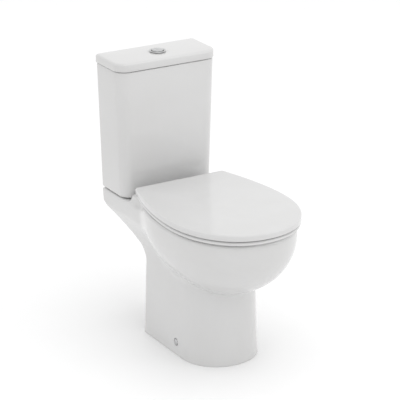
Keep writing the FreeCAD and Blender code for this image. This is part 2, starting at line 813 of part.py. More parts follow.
def make_hinge_pins():
    def pin(side):
        _, seat, cover = hinge_spans(side)
        return rod_x_axis(hinge_pin_r, min(seat[0], cover[0]), max(seat[1], cover[1]), axis_y, axis_z)
    return pair(pin)


def make_seat_lugs():
    """Hinge lugs on the back of the ring, tight on the pins."""
    ring_rear = y_at(cover_rear_d + ring_rear_inset)

    def lug(side):
        low, high = hinge_spans(side)[1]
        arm = box(low, high, ring_rear, axis_y, ring_z + 4.0, ring_top_z - 1)
        body = arm.fuse(rod_x_axis(barrel_hinge_r, low, high, axis_y, axis_z))
        return body.cut(rod_x_axis(hinge_pin_r, low - 1, high + 1, axis_y, axis_z))
    return pair(lug)


def make_cover_lugs():
    """Hinge lugs on the back of the cover, free to turn on the pins."""
    def lug(side):
        low, high = hinge_spans(side)[2]
        arm = box(low, high, y_at(cover_rear_d), axis_y, cover_z + 2.5, cover_z + 8.5)
        body = arm.fuse(rod_x_axis(barrel_hinge_r, low, high, axis_y, axis_z))
        return body.cut(rod_x_axis(hinge_pin_r + run_clearance, low - 1, high + 1, axis_y, axis_z))
    return pair(lug)


def make_hinge_washers():
    return pair(lambda side: tube(post_width / 2, stud_r, deck_z, deck_z + hinge_washer,
                                  side * hinge_x, y_at(post_d)))


def make_hinge_studs():
    top = deck_z + hinge_washer + post_base_height - 1
    return pair(lambda side: cylinder(stud_r, stud_end_z, top, side * hinge_x, y_at(post_d)))


def make_hinge_plate_washers():
    top = deck_z - shelf_slab
    return pair(lambda side: tube(11.5, stud_r, top - 3, top, side * hinge_x, y_at(post_d)))


def make_hinge_wing_nuts():
    top = deck_z - shelf_slab - 3
    return pair(lambda side: wing_nut(side * hinge_x, y_at(post_d), top, stud_r))


# ---- floor fixing ----
def bracket_face():
    """Outer face of the bracket, just inside the foot's wall."""
    return foot_half_width - ceramic - 4.0


def make_floor_brackets():
    y = y_at(fixing_d)
    half = bracket_width / 2
    face = bracket_face()

    def bracket(side):
        upright = box(*sorted((side * face, side * (face - bracket_thickness))),
                      y - half, y + half, 0, bracket_height)
        foot = box(*sorted((side * face, side * (face - bracket_foot))),
                   y - half, y + half, 0, bracket_thickness)
        body = upright.fuse(foot)
        body = body.cut(cylinder(floor_hole_r, -1, bracket_thickness + 1, side * floor_hole_x, y))
        return body.cut(rod_x_axis(3.0, *sorted((side * (face - 10), side * (face + 5))), y, fixing_z))
    return pair(bracket)


def make_side_screws():
    y = y_at(fixing_d)
    seat = foot_half_at(fixing_z) - fixing_recess

    def screw(side):
        shank = rod_x_axis(3.0, *sorted((side * (bracket_face() - 8), side * (seat + 1))), y, fixing_z)
        head = rod_x_axis(7.0, *sorted((side * seat, side * (seat + 2.5))), y, fixing_z)
        return shank.fuse(head)
    return pair(screw)


def make_side_screw_caps():
    y = y_at(fixing_d)
    seat = foot_half_at(fixing_z) - fixing_recess

    def cap(side):
        """A cup with a softly rounded outer edge that stands a little proud of the foot."""
        face = side * (seat + fixing_recess - 1 + cap_dome)
        blank = rod_x_axis(side_cap_r, *sorted((side * seat, face)), y, fixing_z)
        edges = [edge for edge in blank.Edges
                 if abs(edge.BoundBox.XMin - face) < 0.01 and abs(edge.BoundBox.XMax - face) < 0.01]
        outer = blank.makeFillet(cap_dome - 0.3, edges)
        inner = rod_x_axis(side_cap_r - 1.8, *sorted((side * (seat - 1), side * (seat + 2.5))), y, fixing_z)
        return outer.cut(inner)
    return pair(cap)


PIECES = {
    "pan": make_pan_bowl,
    "pan_foot": make_pan_foot,
    "pan_trap": make_pan_trap,
    "cistern": make_cistern,
    "cistern_lid": make_cistern_lid,
    "doughnut_washer": make_doughnut_washer,
    "cistern_pads": make_cistern_pads,
    "coupling_bolts": make_coupling_bolts,
    "coupling_rubber_washers": make_coupling_rubber_washers,
    "coupling_plate_washers": make_coupling_plate_washers,
    "coupling_wing_nuts": make_coupling_wing_nuts,
    "flush_valve_base": make_flush_valve_base,
    "flush_valve_seal_washer": make_flush_valve_seal_washer,
    "flush_valve_backnut": make_flush_valve_backnut,
    "flush_valve_tower": make_flush_valve_tower,
    "flush_valve_plunger": make_flush_valve_plunger,
    "flush_valve_seal": make_flush_valve_seal,
    "fill_valve_body": make_fill_valve_body,
    "fill_valve_washer": make_fill_valve_washer,
    "fill_valve_backnut": make_fill_valve_backnut,
    "fill_valve_head": make_fill_valve_head,
    "lever_pin": make_lever_pin,
    "float_lever": make_float_lever,
    "float_cup": make_float_cup,
    "button_bezel": make_button_bezel,
    "button_clamp_nut": make_button_clamp_nut,
    "full_flush_button": make_full_flush_button,
    "half_flush_button": make_half_flush_button,
    "seat_ring": make_seat_ring,
    "seat_buffers": make_seat_buffers,
    "seat_cover": make_seat_cover,
    "cover_buffers": make_cover_buffers,
    "seat_lugs": make_seat_lugs,
    "cover_lugs": make_cover_lugs,
    "hinge_pins": make_hinge_pins,
    "hinge_posts": make_hinge_posts,
    "hinge_washers": make_hinge_washers,
    "hinge_studs": make_hinge_studs,
    "hinge_plate_washers": make_hinge_plate_washers,
    "hinge_wing_nuts": make_hinge_wing_nuts,
    "floor_brackets": make_floor_brackets,
    "side_screws": make_side_screws,
    "side_screw_caps": make_side_screw_caps,
}

os.makedirs("parts", exist_ok=True)
for name, make in PIECES.items():
    shape = make()
    bounds = shape.BoundBox
    print(f"{name:26s} solids {len(shape.Solids)} valid {shape.isValid()} "
          f"volume {shape.Volume / 1000:9.2f} cm3  z {bounds.ZMin:6.1f} to {bounds.ZMax:6.1f}")
    shape.exportStep(f"parts/{name}.step")
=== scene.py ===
# %% [markdown]
# # A close coupled toilet, in Blender
# A close coupled toilet is a pan and a cistern of glazed china, a hinged seat and cover, and the
# fittings inside. The engineering model is loaded first and stays as it is: it says how large
# every piece is, where it sits and what it moves with. The cells below give each piece the shape
# and finish that the real one has.

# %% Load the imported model
import itertools
import json
import math

import bmesh
import bpy
import numpy as np
from mathutils import Matrix, Vector

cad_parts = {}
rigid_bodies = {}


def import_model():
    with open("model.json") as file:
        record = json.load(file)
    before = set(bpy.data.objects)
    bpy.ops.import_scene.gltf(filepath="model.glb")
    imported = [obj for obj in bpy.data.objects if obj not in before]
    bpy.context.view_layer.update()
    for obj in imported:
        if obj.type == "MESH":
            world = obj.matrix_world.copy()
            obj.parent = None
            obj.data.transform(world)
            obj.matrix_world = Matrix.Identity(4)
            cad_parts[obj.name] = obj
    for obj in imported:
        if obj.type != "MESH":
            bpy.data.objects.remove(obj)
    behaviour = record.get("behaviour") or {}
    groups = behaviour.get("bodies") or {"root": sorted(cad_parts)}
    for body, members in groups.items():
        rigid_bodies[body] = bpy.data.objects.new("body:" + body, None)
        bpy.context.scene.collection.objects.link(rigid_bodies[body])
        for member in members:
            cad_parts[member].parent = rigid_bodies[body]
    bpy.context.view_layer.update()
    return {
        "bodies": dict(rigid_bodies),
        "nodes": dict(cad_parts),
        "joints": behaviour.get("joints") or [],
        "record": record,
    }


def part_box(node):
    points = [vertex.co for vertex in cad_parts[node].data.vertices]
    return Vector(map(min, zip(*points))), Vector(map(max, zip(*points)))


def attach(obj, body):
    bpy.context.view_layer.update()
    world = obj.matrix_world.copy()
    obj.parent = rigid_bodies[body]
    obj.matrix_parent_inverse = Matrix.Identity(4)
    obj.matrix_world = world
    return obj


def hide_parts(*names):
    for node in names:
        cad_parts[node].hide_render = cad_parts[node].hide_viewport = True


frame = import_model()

print("bodies:", ", ".join(frame["bodies"]))

# %% [markdown]
# ## Sizes that the model gives
# Every place is read from the model's nodes, in metres. The toilet faces -Y, its wall is at the
# largest Y, and it stands on z = 0. So depths are measured forwards from the wall, as a fitter
# would measure them.

# %% Read the places of the main pieces
PAN_NODES = ("pan", "pan_foot", "pan_trap")


def joint_box(names):
    """Lowest and highest corners of several nodes together."""
    corners = [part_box(name) for name in names]
    return (Vector([min(low[i] for low, _ in corners) for i in range(3)]),
            Vector([max(high[i] for _, high in corners) for i in range(3)]))


pan_low, pan_high = joint_box(PAN_NODES)
cistern_low, cistern_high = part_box("cistern")
lid_low, lid_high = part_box("cistern_lid")
ring_low, ring_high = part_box("seat_ring")
cover_low, cover_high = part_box("seat_cover")
bezel_low, bezel_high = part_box("button_bezel")
WALL = lid_high.y
FRONT = cover_low.y
DEPTH = WALL - FRONT
VALVE_Y = (bezel_low.y + bezel_high.y) / 2
joints = {joint["name"]: joint for joint in frame["joints"]}
AXIS = Vector(joints["seat_hinge"]["pos_m"])
mounts = {mount["name"]: mount for mount in frame["record"]["mounts"]}
print(f"depth {DEPTH:.3f} m, height of the lid {lid_high.z:.3f} m, hinge axis {AXIS.y:.3f}, {AXIS.z:.3f}")

# %% [markdown]
# ## Small tools for meshes
# A piece is finished when its mesh is closed, its faces point outwards and its object sits at the
# origin, unturned. `new_piece` makes the object, and `finish_piece` says what it moves with, which
# node it stands for and which finish it has.

# %% Make and finish a piece
def new_piece(name, points, faces):
    mesh = bpy.data.meshes.new(name)
    mesh.from_pydata([tuple(p) for p in points], [], [tuple(f) for f in faces])
    mesh.validate()
    piece = bpy.data.objects.new(name, mesh)
    bpy.context.scene.collection.objects.link(piece)
    return piece


def tidy_mesh(piece, crease_degrees=40, outward=True):
    """Merges doubles, turns faces outwards, and shades smooth up to the crease angle."""
    work = bmesh.new()
    work.from_mesh(piece.data)
    bmesh.ops.remove_doubles(work, verts=work.verts, dist=1e-6)
    if outward:
        bmesh.ops.recalc_face_normals(work, faces=work.faces)
    work.to_mesh(piece.data)
    work.free()
    piece.data.shade_smooth()
    piece.data.set_sharp_from_angle(angle=math.radians(crease_degrees))


def finish_piece(piece, body, slot, material, *nodes):
    piece.data.materials.clear()
    piece.data.materials.append(material)
    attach(piece, body)
    if nodes:
        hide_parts(*nodes)
    print(f"{piece.name}: {len(piece.data.polygons)} faces, rides on {body}")
    return piece


def soft_slot(node):
    """The material slot that the record gives to a node."""
    return next(row["material_slot"] for row in frame["record"]["subparts"] if row["node"] == node)


def bake_modifiers(piece):
    """Turns the evaluated piece into a plain mesh and takes its modifiers off."""
    graph = bpy.context.evaluated_depsgraph_get()
    mesh = bpy.data.meshes.new_from_object(piece.evaluated_get(graph))
    piece.modifiers.clear()
    old = piece.data
    piece.data = mesh
    bpy.data.meshes.remove(old)
    return piece


# %% [markdown]
# ## Outlines and skins
# Cistern, lid, ring and cover are all the same kind of shape: an outline seen from above that
# changes a little with height. So each is a list of rings of points, and `skin` joins
# them with four-sided faces. A rounded edge is a few more rings on a quarter circle.

# %% Rings and the skin over them
def skin(name, rings, close_ends=True, loop=False):
    """Faces between rings with the same number of points, with flat caps or closed as a loop."""
    count = len(rings[0])
    points = [p for ring in rings for p in ring]
    faces = []
    spans = len(rings) if loop else len(rings) - 1
    for level in range(spans):
        low = level * count
        high = (level + 1) % len(rings) * count
        for i in range(count):
            j = (i + 1) % count
            faces.append((low + i, low + j, high + j, high + i))
    if close_ends and not loop:
        faces.append(tuple(range(count))[::-1])
        faces.append(tuple(range(len(points) - count, len(points))))
    return new_piece(name, points, faces)


def rounded_rectangle(half, back, front, back_r, front_r, z, steps=14):
    """Plan outline as a ring of points, with its own corner radius at the wall and in front."""
    ring = []
    corners = ((half, back, back_r, 0), (-half, back, back_r, 90),
               (-half, front, front_r, 180), (half, front, front_r, 270))
    for x, y, r, start in corners:
        cx = x - math.copysign(r, x)
        cy = y - r if start < 180 else y + r
        for i in range(steps + 1):
            a = math.radians(start + 90 * i / steps)
            ring.append((cx + r * math.cos(a), cy + r * math.sin(a), z))
    return ring


def quarter_round(radius, steps=6):
    """(inset, rise) along a quarter circle, from a vertical side to a flat top."""
    return [(radius * (1 - math.cos(a)), radius * math.sin(a))
            for a in (math.pi / 2 * i / steps for i in range(steps + 1))]


# %% [markdown]
# ## The cistern
# The cistern is a slip-cast china box, wider at the top than at the base, open at the top and
# with holes in its floor for the valves and bolts. One skin runs up the outside, over the
# rim and down the inside, so that the wall is closed and has its real thickness.

# %% Cistern: one skin, outside and inside
CHINA_WALL = 0.010
CISTERN_CORNER = 0.035
BACK_CORNER = 0.008
BASE_ROUND = 0.007
BASE_INSET = 0.0115        # how much narrower the base is than the top, at each side


def cistern_half(z):
    t = (z - cistern_low.z) / (cistern_high.z - cistern_low.z)
    return cistern_high.x - BASE_INSET * (1 - t)


def cistern_ring(z, inset):
    return rounded_rectangle(cistern_half(z) - inset, cistern_high.y - inset, cistern_low.y + inset,
                             max(BACK_CORNER - inset * 0.5, 0.003),
                             max(CISTERN_CORNER - inset * 0.8, 0.006), z)


def make_cistern():
    floor_z = cistern_low.z + CHINA_WALL
    outside = [cistern_ring(cistern_low.z + BASE_ROUND - rise, inset)
               for inset, rise in reversed(quarter_round(BASE_ROUND))]
    outside.append(cistern_ring(cistern_high.z - 0.0025, 0.0))
    rim = [cistern_ring(cistern_high.z - 0.0007, 0.0006),
           cistern_ring(cistern_high.z, 0.0022),
           cistern_ring(cistern_high.z, CHINA_WALL - 0.0022),
           cistern_ring(cistern_high.z - 0.0022, CHINA_WALL)]
    inside = [cistern_ring(floor_z + 0.012 - rise, CHINA_WALL + inset)
              for inset, rise in quarter_round(0.012)]
    return skin("cistern_china", outside + rim + inside)


cistern_china = make_cistern()

# %% [markdown]
# ## The lid
# The lid is a shallow china tray turned over: a soft edge all round, a very slightly crowned top,
# and a lip below that drops inside the cistern so that the lid can't slide off.

# %% Lid
LID_EDGE = 0.007
LIP_DROP = lid_low.z          # lowest point of the locating lip
LID_BASE = cistern_high.z
LID_SHADOW = 0.0018           # the skirt's edge stays this far above the rim, outside its seat


def lid_ring(z, inset):
    return rounded_rectangle(lid_high.x - inset, lid_high.y - inset, lid_low.y + inset,
                             max(0.009 - inset * 0.5, 0.004), max(0.037 - inset * 0.8, 0.008), z)


def make_lid():
    top = lid_high.z
    crown = 0.0012
    inner_top = top - 0.011
    rings = [lid_ring(inner_top, 0.045), lid_ring(inner_top - 0.002, 0.030),
             lid_ring(inner_top - 0.006, 0.0215)]
    rings += [cistern_ring(LIP_DROP + 0.001, 0.0185), cistern_ring(LIP_DROP, 0.0175),
              cistern_ring(LIP_DROP, 0.0125), cistern_ring(LIP_DROP + 0.001, 0.0115),
              cistern_ring(LID_BASE - 0.0005, 0.0115)]
    rings += [lid_ring(LID_BASE, 0.012), lid_ring(LID_BASE + 0.0002, 0.0095),
              lid_ring(LID_BASE + LID_SHADOW, 0.0075), lid_ring(LID_BASE + LID_SHADOW, 0.0022),
              lid_ring(LID_BASE + LID_SHADOW + 0.0006, 0.0007), lid_ring(LID_BASE + LID_SHADOW + 0.002, 0.0)]
    rings += [lid_ring(top - crown - LID_EDGE + rise, inset)
              for inset, rise in quarter_round(LID_EDGE, 8)]
    rings += [lid_ring(top - crown * 0.45, 0.022), lid_ring(top, 0.055)]
    return skin("lid_china", rings)


lid_china = make_lid()

# %% [markdown]
# ## The outline of the seat
# Cover and ring share one outline: a straight edge at the hinge, round corners, sides that swell,
# and an oval nose. It follows a rule, so it is worked out from the widths of the node. Every ring has
# the same number of points in the same order, so that rings of different size line up.

# %% Seat outline from a few widths
OVAL_POWER = 2.15
SIDE_POWER = 1.8
REAR_SHARE = 0.76           # width at the hinge, as a share of the widest
CORNER = 0.007
SEAT_CENTRE_Y = WALL - 0.440


def right_half(wide, front_y, rear_y, rear_half, corner):
    """Points of the right half of the outline, from the hinge edge to the nose."""
    span = rear_y - SEAT_CENTRE_Y

    def swell(y):
        return wide - (wide - rear_half) * ((y - SEAT_CENTRE_Y) / span) ** SIDE_POWER
    start = np.array([rear_half - corner, rear_y])
    knee = np.array([swell(rear_y), rear_y])
    end = np.array([swell(rear_y - corner), rear_y - corner])
    points = [(x, rear_y) for x in np.linspace(0, start[0], 18)]
    for t in np.linspace(0, 1, 11)[1:]:
        points.append(tuple(start * (1 - t) ** 2 + knee * 2 * t * (1 - t) + end * t * t))
    points += [(swell(y), y) for y in np.linspace(end[1], SEAT_CENTRE_Y, 30)[1:]]
    for a in np.linspace(0, math.pi / 2, 50)[1:]:
        x = wide * math.cos(a) ** (2 / OVAL_POWER)
        y = SEAT_CENTRE_Y - (SEAT_CENTRE_Y - front_y) * math.sin(a) ** (2 / OVAL_POWER)
        points.append((x, y))
    return points


def seat_outline(low, high, inset=0.0):
    """The whole outline; every inset gives the same number of points, in the same order."""
    half = right_half(high.x - inset, low.y + inset, high.y - inset, high.x * REAR_SHARE - inset,
                      max(CORNER - inset * 0.6, 0.003))
    return np.array(half + [(-x, y) for x, y in reversed(half[1:-1])])


def oval_facing(plan, half, front, rear, rear_power):
    """Points of an oval round the seat's centre, each in the direction of a point of the plan."""
    angles = np.arctan2(plan[:, 1] - SEAT_CENTRE_Y, plan[:, 0])
    points = []
    for a in angles:
        power, reach = (rear_power, rear) if math.sin(a) > 0 else (2.1, front)
        size = (abs(math.cos(a) / half) ** power + abs(math.sin(a) / reach) ** power) ** (-1 / power)
        points.append((size * math.cos(a), SEAT_CENTRE_Y + size * math.sin(a)))
    return np.array(points)


def ring_at(plan, z):
    return [(x, y, z) for x, y in plan]


# %% [markdown]
# ## The cover
# The cover is a hard moulded shell: a turned-down edge, a well rounded shoulder and a top that
# rises a few millimetres towards the middle, so that water runs off. The top rings are the edge
# ring drawn in towards the centre, and each rises a little less than the one before.

# %% Cover shell
COVER_SKIN = 0.006
COVER_SHOULDER = 0.0040
cover_centre = np.array([0.0, SEAT_CENTRE_Y])


def drawn_in(plan, share):
    return cover_centre + (plan - cover_centre) * share


def make_cover():
    bottom, top = cover_low.z, cover_high.z
    crown = 0.0022
    shoulder_z = top - crown - COVER_SHOULDER
    rings = []
    inner = seat_outline(cover_low, cover_high, COVER_SKIN + 0.002)
    ceiling = top - crown - COVER_SKIN
    for share in (0.06, 0.3, 0.6, 0.85):
        rings.append(ring_at(drawn_in(inner, share), ceiling + crown * (1 - share ** 2) * 0.9))
    rings.append(ring_at(drawn_in(inner, 0.955), ceiling - 0.0015))
    rings.append(ring_at(drawn_in(inner, 0.985), ceiling - 0.0045))
    rings.append(ring_at(inner, ceiling - 0.009))
    rings.append(ring_at(inner, bottom + 0.001))
    rings.append(ring_at(seat_outline(cover_low, cover_high, COVER_SKIN + 0.001), bottom))
    rings.append(ring_at(seat_outline(cover_low, cover_high, 0.0022), bottom))
    rings.append(ring_at(seat_outline(cover_low, cover_high, 0.0006), bottom + 0.0007))
    rings.append(ring_at(seat_outline(cover_low, cover_high, 0.0), bottom + 0.0024))
    for inset, rise in quarter_round(COVER_SHOULDER, 9):
        rings.append(ring_at(seat_outline(cover_low, cover_high, inset), shoulder_z + rise))
    edge = seat_outline(cover_low, cover_high, COVER_SHOULDER)
    for share in (0.96, 0.9, 0.82, 0.7, 0.55, 0.4, 0.25, 0.12, 0.04):
        rings.append(ring_at(drawn_in(edge, share), top - crown * share ** 2))
    return skin("seat_cover_shell", rings)


seat_cover_shell = make_cover()

# %% [markdown]
# ## The seat ring
# The ring is solid, with a broad rounded outer edge and a top that falls towards the hole. It is
# one closed loop of rings round its cross-section, so it has no caps at all.

# %% Seat ring
HOLE_HALF, HOLE_FRONT, HOLE_REAR = 0.113, 0.150, 0.140


def make_ring():
    outer = seat_outline(ring_low, ring_high)
    hole = oval_facing(outer, HOLE_HALF, HOLE_FRONT, HOLE_REAR, 2.4)
    inward = hole - outer
    inward /= np.linalg.norm(inward, axis=1)[:, None]
    low, high = ring_low.z, ring_high.z
    thick = high - low
    section = [(outer, 0.006, low), (outer, 0.0025, low + 0.0006), (outer, 0.0006, low + 0.0022),
               (outer, 0.0, low + 0.0045), (outer, 0.0004, low + 0.0065), (outer, 0.0018, low + 0.0086),
               (outer, 0.0045, low + 0.0101), (outer, 0.009, high - 0.0002), (outer, 0.016, high),
               (outer, 0.030, high - 0.0003), (hole, -0.020, high - 0.0015), (hole, -0.012, high - 0.0028),
               (hole, -0.006, high - 0.0046), (hole, -0.0022, high - 0.0068),
               (hole, -0.0004, low + 0.0028), (hole, 0.0, low + 0.0016), (hole, -0.0012, low + 0.0004),
               (hole, -0.004, low)]
    rings = []
    for plan, inset, z in section:
        rings.append(ring_at(plan + inward * inset, min(max(z, low), low + thick)))
    return skin("seat_ring_moulding", rings, loop=True)


seat_ring_moulding = make_ring()

# %% [markdown]
# ## The pan, as one blended solid
# The pan is cast in a mould and glazed, so nothing on it is sharp: bowl, foot and shelf run into
# each other in soft hollows. That is hard to do with separate meshes. Here each part is a
# formula that is negative inside the china and grows with distance outside. A smooth minimum of
# two such fields joins the parts with a fillet, and a net of four-sided faces is then drawn
# where the field is zero.

# %% Fields: blends and a net over the zero surface
def blend_min(a, b, radius):
    """Joins two solids with a fillet of about this radius."""
    share = np.clip(0.5 + 0.5 * (b - a) / radius, 0, 1)
    return b * (1 - share) + a * share - radius * share * (1 - share)


def blend_cut(a, b, radius):
    """Cuts solid b out of solid a, with a rounded edge."""
    return -blend_min(-a, b, radius)


def as_distance(field, step):
    """Scales a field so that it grows by about one metre per metre."""
    slope = np.sqrt(sum(g ** 2 for g in np.gradient(field, step)))
    return field / np.maximum(slope, 0.15)


def net_over(field, origin, step):
    """Points and four-sided faces of the surface where the field changes sign."""
    inside = field < 0
    cells = tuple(n - 1 for n in field.shape)
    filled = np.zeros(cells, int)
    for i, j, k in itertools.product((0, 1), repeat=3):
        filled += inside[i:cells[0] + i, j:cells[1] + j, k:cells[2] + k]
    active = (filled > 0) & (filled < 8)
    number = np.full(cells, -1)
    number[active] = np.arange(active.sum())
    total = np.zeros((active.sum(), 3))
    hits = np.zeros(active.sum())
    faces = []
    for axis in range(3):
        low = np.take(field, range(field.shape[axis] - 1), axis)
        high = np.take(field, range(1, field.shape[axis]), axis)
        u, v = (axis + 1) % 3, (axis + 2) % 3
        crossing = (low < 0) != (high < 0)
        at = np.argwhere(crossing)
        keep = (at[:, u] > 0) & (at[:, v] > 0) & (at[:, u] < cells[u]) & (at[:, v] < cells[v])
        at = at[keep]
        a = low[tuple(at.T)]
        b = high[tuple(at.T)]
        place = at.astype(float)
        place[:, axis] += a / (a - b)
        around = []
        for du, dv in ((-1, -1), (0, -1), (0, 0), (-1, 0)):
            cell = at.copy()
            cell[:, u] += du
            cell[:, v] += dv
            owner = number[tuple(cell.T)]
            np.add.at(total, owner, place)
            np.add.at(hits, owner, 1)
            around.append(owner)
        quad = np.column_stack(around)
        leaving = a < 0
        faces.append(np.where(leaving[:, None], quad, quad[:, ::-1]))
    return origin + total / hits[:, None] * step, np.concatenate(faces)


def relax(points, faces, rounds):
    """Evens out a net without shrinking it: a smoothing step forward, then one back."""
    start = faces.ravel()
    end = np.roll(faces, -1, axis=1).ravel()
    degree = np.bincount(start, minlength=len(points)) + np.bincount(end, minlength=len(points))
    for amount in (0.5, -0.53) * rounds:
        mean = np.zeros_like(points)
        np.add.at(mean, start, points[end])
        np.add.at(mean, end, points[start])
        points = points + amount * (mean / degree[:, None] - points)
    return points


# %% [markdown]
# The sizes of the pan are those of its node, and of the pieces that sit on it: the rim is the top
# of the node, the shelf is where the pads below the cistern stand, the socket is as wide as the
# sponge washer in it.

# %% Sizes of the pan
STEP = 0.005
CHINA = 0.012
SHELF_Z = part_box("cistern_pads")[0].z
DECK_Z = pan_high.z
SLAB = 0.014
DECK_BACK_Y = WALL - 0.148
SHELF_HALF = 0.146
DECK_HALF = 0.133             # a little narrower than the cover's hinge edge, which hides it
SHELF_EDGE = 0.046
FOOT_HALF, FOOT_BACK, FOOT_FRONT = 0.113, WALL - 0.181, WALL - 0.5075
STEM_HALF, STEM_BACK, STEM_FRONT, STEM_TOP = 0.1085, WALL - 0.187, WALL - 0.496, 0.225
BOWL_HALF, BOWL_FRONT, BOWL_REAR = pan_high.x, 0.215, 0.250
BOWL_Y = pan_low.y + BOWL_FRONT
SPRING_Z = 0.385
BOWL_DEPTH = 0.180
SOCKET_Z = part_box("doughnut_washer")[0].z
OUTLET = Vector(mounts["soil_outlet"]["pos_m"])
SPIGOT_LENGTH = mounts["soil_outlet"]["dims"]["length_mm"] / 1000
SPIGOT_END_Y = OUTLET.y + SPIGOT_LENGTH / 2
INLET_X = mounts["water_inlet"]["pos_m"][0]

grid = [np.arange(low - 3 * STEP, high + 4 * STEP, STEP)
        for low, high in zip(pan_low, pan_high)]
X, Y, Z = np.meshgrid(*grid, indexing="ij")
print("grid of the pan:", X.shape)


# %% Profile of the stem: half width, back and front at every height
def stem_profile(z):
    """Straight foot, then a bend and a ramp out to the shelf."""
    shelf_low = SHELF_Z - SHELF_EDGE
    t = np.clip((z - STEM_TOP) / (shelf_low - STEM_TOP), 0, 1)
    foot = np.clip(z / STEM_TOP, 0, 1)
    run = np.interp(t, (0, 0.15, 0.32, 0.55, 0.78, 1), (0, 0.03, 0.12, 0.42, 0.72, 1))
    half = FOOT_HALF + (STEM_HALF - FOOT_HALF) * foot + (SHELF_HALF - 0.003 - STEM_HALF) * t ** 2.2
    half = half + 0.003 * np.clip((z - shelf_low) / SHELF_EDGE, 0, 1)
    back = FOOT_BACK + (STEM_BACK - FOOT_BACK) * foot
    back = back + (WALL - 0.003 - back) * run
    front = FOOT_FRONT + (STEM_FRONT - FOOT_FRONT) * foot
    front = front + (BOWL_Y - front) * t
    return half, back, front


def smoothed_profile():
    """The same, with the corner of the ramp eased, read off at each height."""
    z = np.arange(-0.03, DECK_Z + 0.06, 0.002)
    bell = np.exp(-0.5 * (np.arange(-8, 9) / 3.5) ** 2)
    bell /= bell.sum()
    eased = [np.convolve(np.pad(v, 8, mode="edge"), bell, "valid") for v in stem_profile(z)]
    return z, eased


profile_z, profile = smoothed_profile()
STEM = [np.interp(Z, profile_z, values) for values in profile]


# %% The parts of the pan as fields
def plan_field(half, back, front, back_r, front_r):
    """Distance to a rounded box seen from above; its corners differ at the wall and in front."""
    middle = (back + front) / 2
    reach = (back - front) / 2
    dy = Y - middle
    r = np.where(dy > 0, back_r, front_r)
    qx = np.abs(X) - half + r
    qy = np.abs(dy) - reach + r
    return np.hypot(np.maximum(qx, 0), np.maximum(qy, 0)) + np.minimum(np.maximum(qx, qy), 0) - r


def bowl_field(half, front, rear, depth):
    dy = Y - BOWL_Y
    power = np.where(dy > 0, 3.0, 2.15)
    reach = np.where(dy > 0, rear, front)
    around = (np.abs(X / half) ** power + np.abs(dy / reach) ** power) ** (1 / power)
    drop = np.maximum(SPRING_Z - Z, 0) / depth
    return as_distance((np.hypot(around, drop) - 1) * half, STEP)


def pipe_field(line, radius):
    """Distance to a bent pipe in the middle plane."""
    nearest = np.full(X.shape, 1.0)
    for (y0, z0), (y1, z1) in zip(line, line[1:]):
        run = np.array([y1 - y0, z1 - z0])
        t = np.clip(((Y - y0) * run[0] + (Z - z0) * run[1]) / (run @ run), 0, 1)
        away = np.sqrt(X ** 2 + (Y - y0 - t * run[0]) ** 2 + (Z - z0 - t * run[1]) ** 2)
        nearest = np.minimum(nearest, away)
    return nearest - radius


def trap_line():
    """Centre line of the trap, with its corners rounded by cutting them three times."""
    end = WALL - SPIGOT_END_Y
    points = np.array([(WALL - d, z) for d, z in (
        (0.445, 0.262), (0.430, 0.100), (end + 0.217, 0.100), (end + 0.166, 0.240),
        (end + 0.100, 0.240), (end + 0.069, OUTLET.z), (end, OUTLET.z))])
    for _ in range(3):
        a, b = points[:-1], points[1:]
        cut = np.empty((2 * len(a), 2))
        cut[0::2] = a * 0.72 + b * 0.28
        cut[1::2] = a * 0.28 + b * 0.72
        points = np.vstack([points[:1], cut, points[-1:]])
    return [tuple(p) for p in points]


def upright(x, y, radius, low, high):
    side = np.hypot(X - x, Y - y) - radius
    return np.maximum(side, np.maximum(low - Z, Z - high))


def block(x_half, y_low, y_high, z_low, z_high):
    return np.maximum.reduce([np.abs(X) - x_half, y_low - Y, Y - y_high, z_low - Z, Z - z_high])


# %% Put the pan together
def pan_outside():
    half, back, front = STEM
    stem = as_distance(plan_field(half, back, front, 0.008, half * 0.97), STEP)
    stem = blend_cut(stem, SHELF_Z - Z, 0.004)
    bowl = bowl_field(BOWL_HALF, BOWL_FRONT, BOWL_REAR, BOWL_DEPTH)
    deck = plan_field(DECK_HALF, DECK_BACK_Y, BOWL_Y, 0.012, 0.06)
    deck = np.maximum(deck, SHELF_Z - 0.03 - Z)
    solid = blend_min(stem, bowl, 0.024)
    solid = blend_min(solid, deck, 0.016)
    return blend_cut(solid, DECK_Z - Z, 0.007), bowl


def pan_hollow(bowl):
    half, back, front = STEM
    inside = half - CHINA
    room = as_distance(plan_field(inside, back + 0.05, front + CHINA, 0.004, inside * 0.97), STEP)
    room = np.maximum(room, Z - (SHELF_Z - SLAB))
    under_deck = block(DECK_HALF - CHINA, WALL - 0.36, DECK_BACK_Y - CHINA, SHELF_Z - 0.03, DECK_Z - SLAB)
    room = blend_min(room, under_deck, 0.006)
    return blend_cut(room, bowl, 0.008)


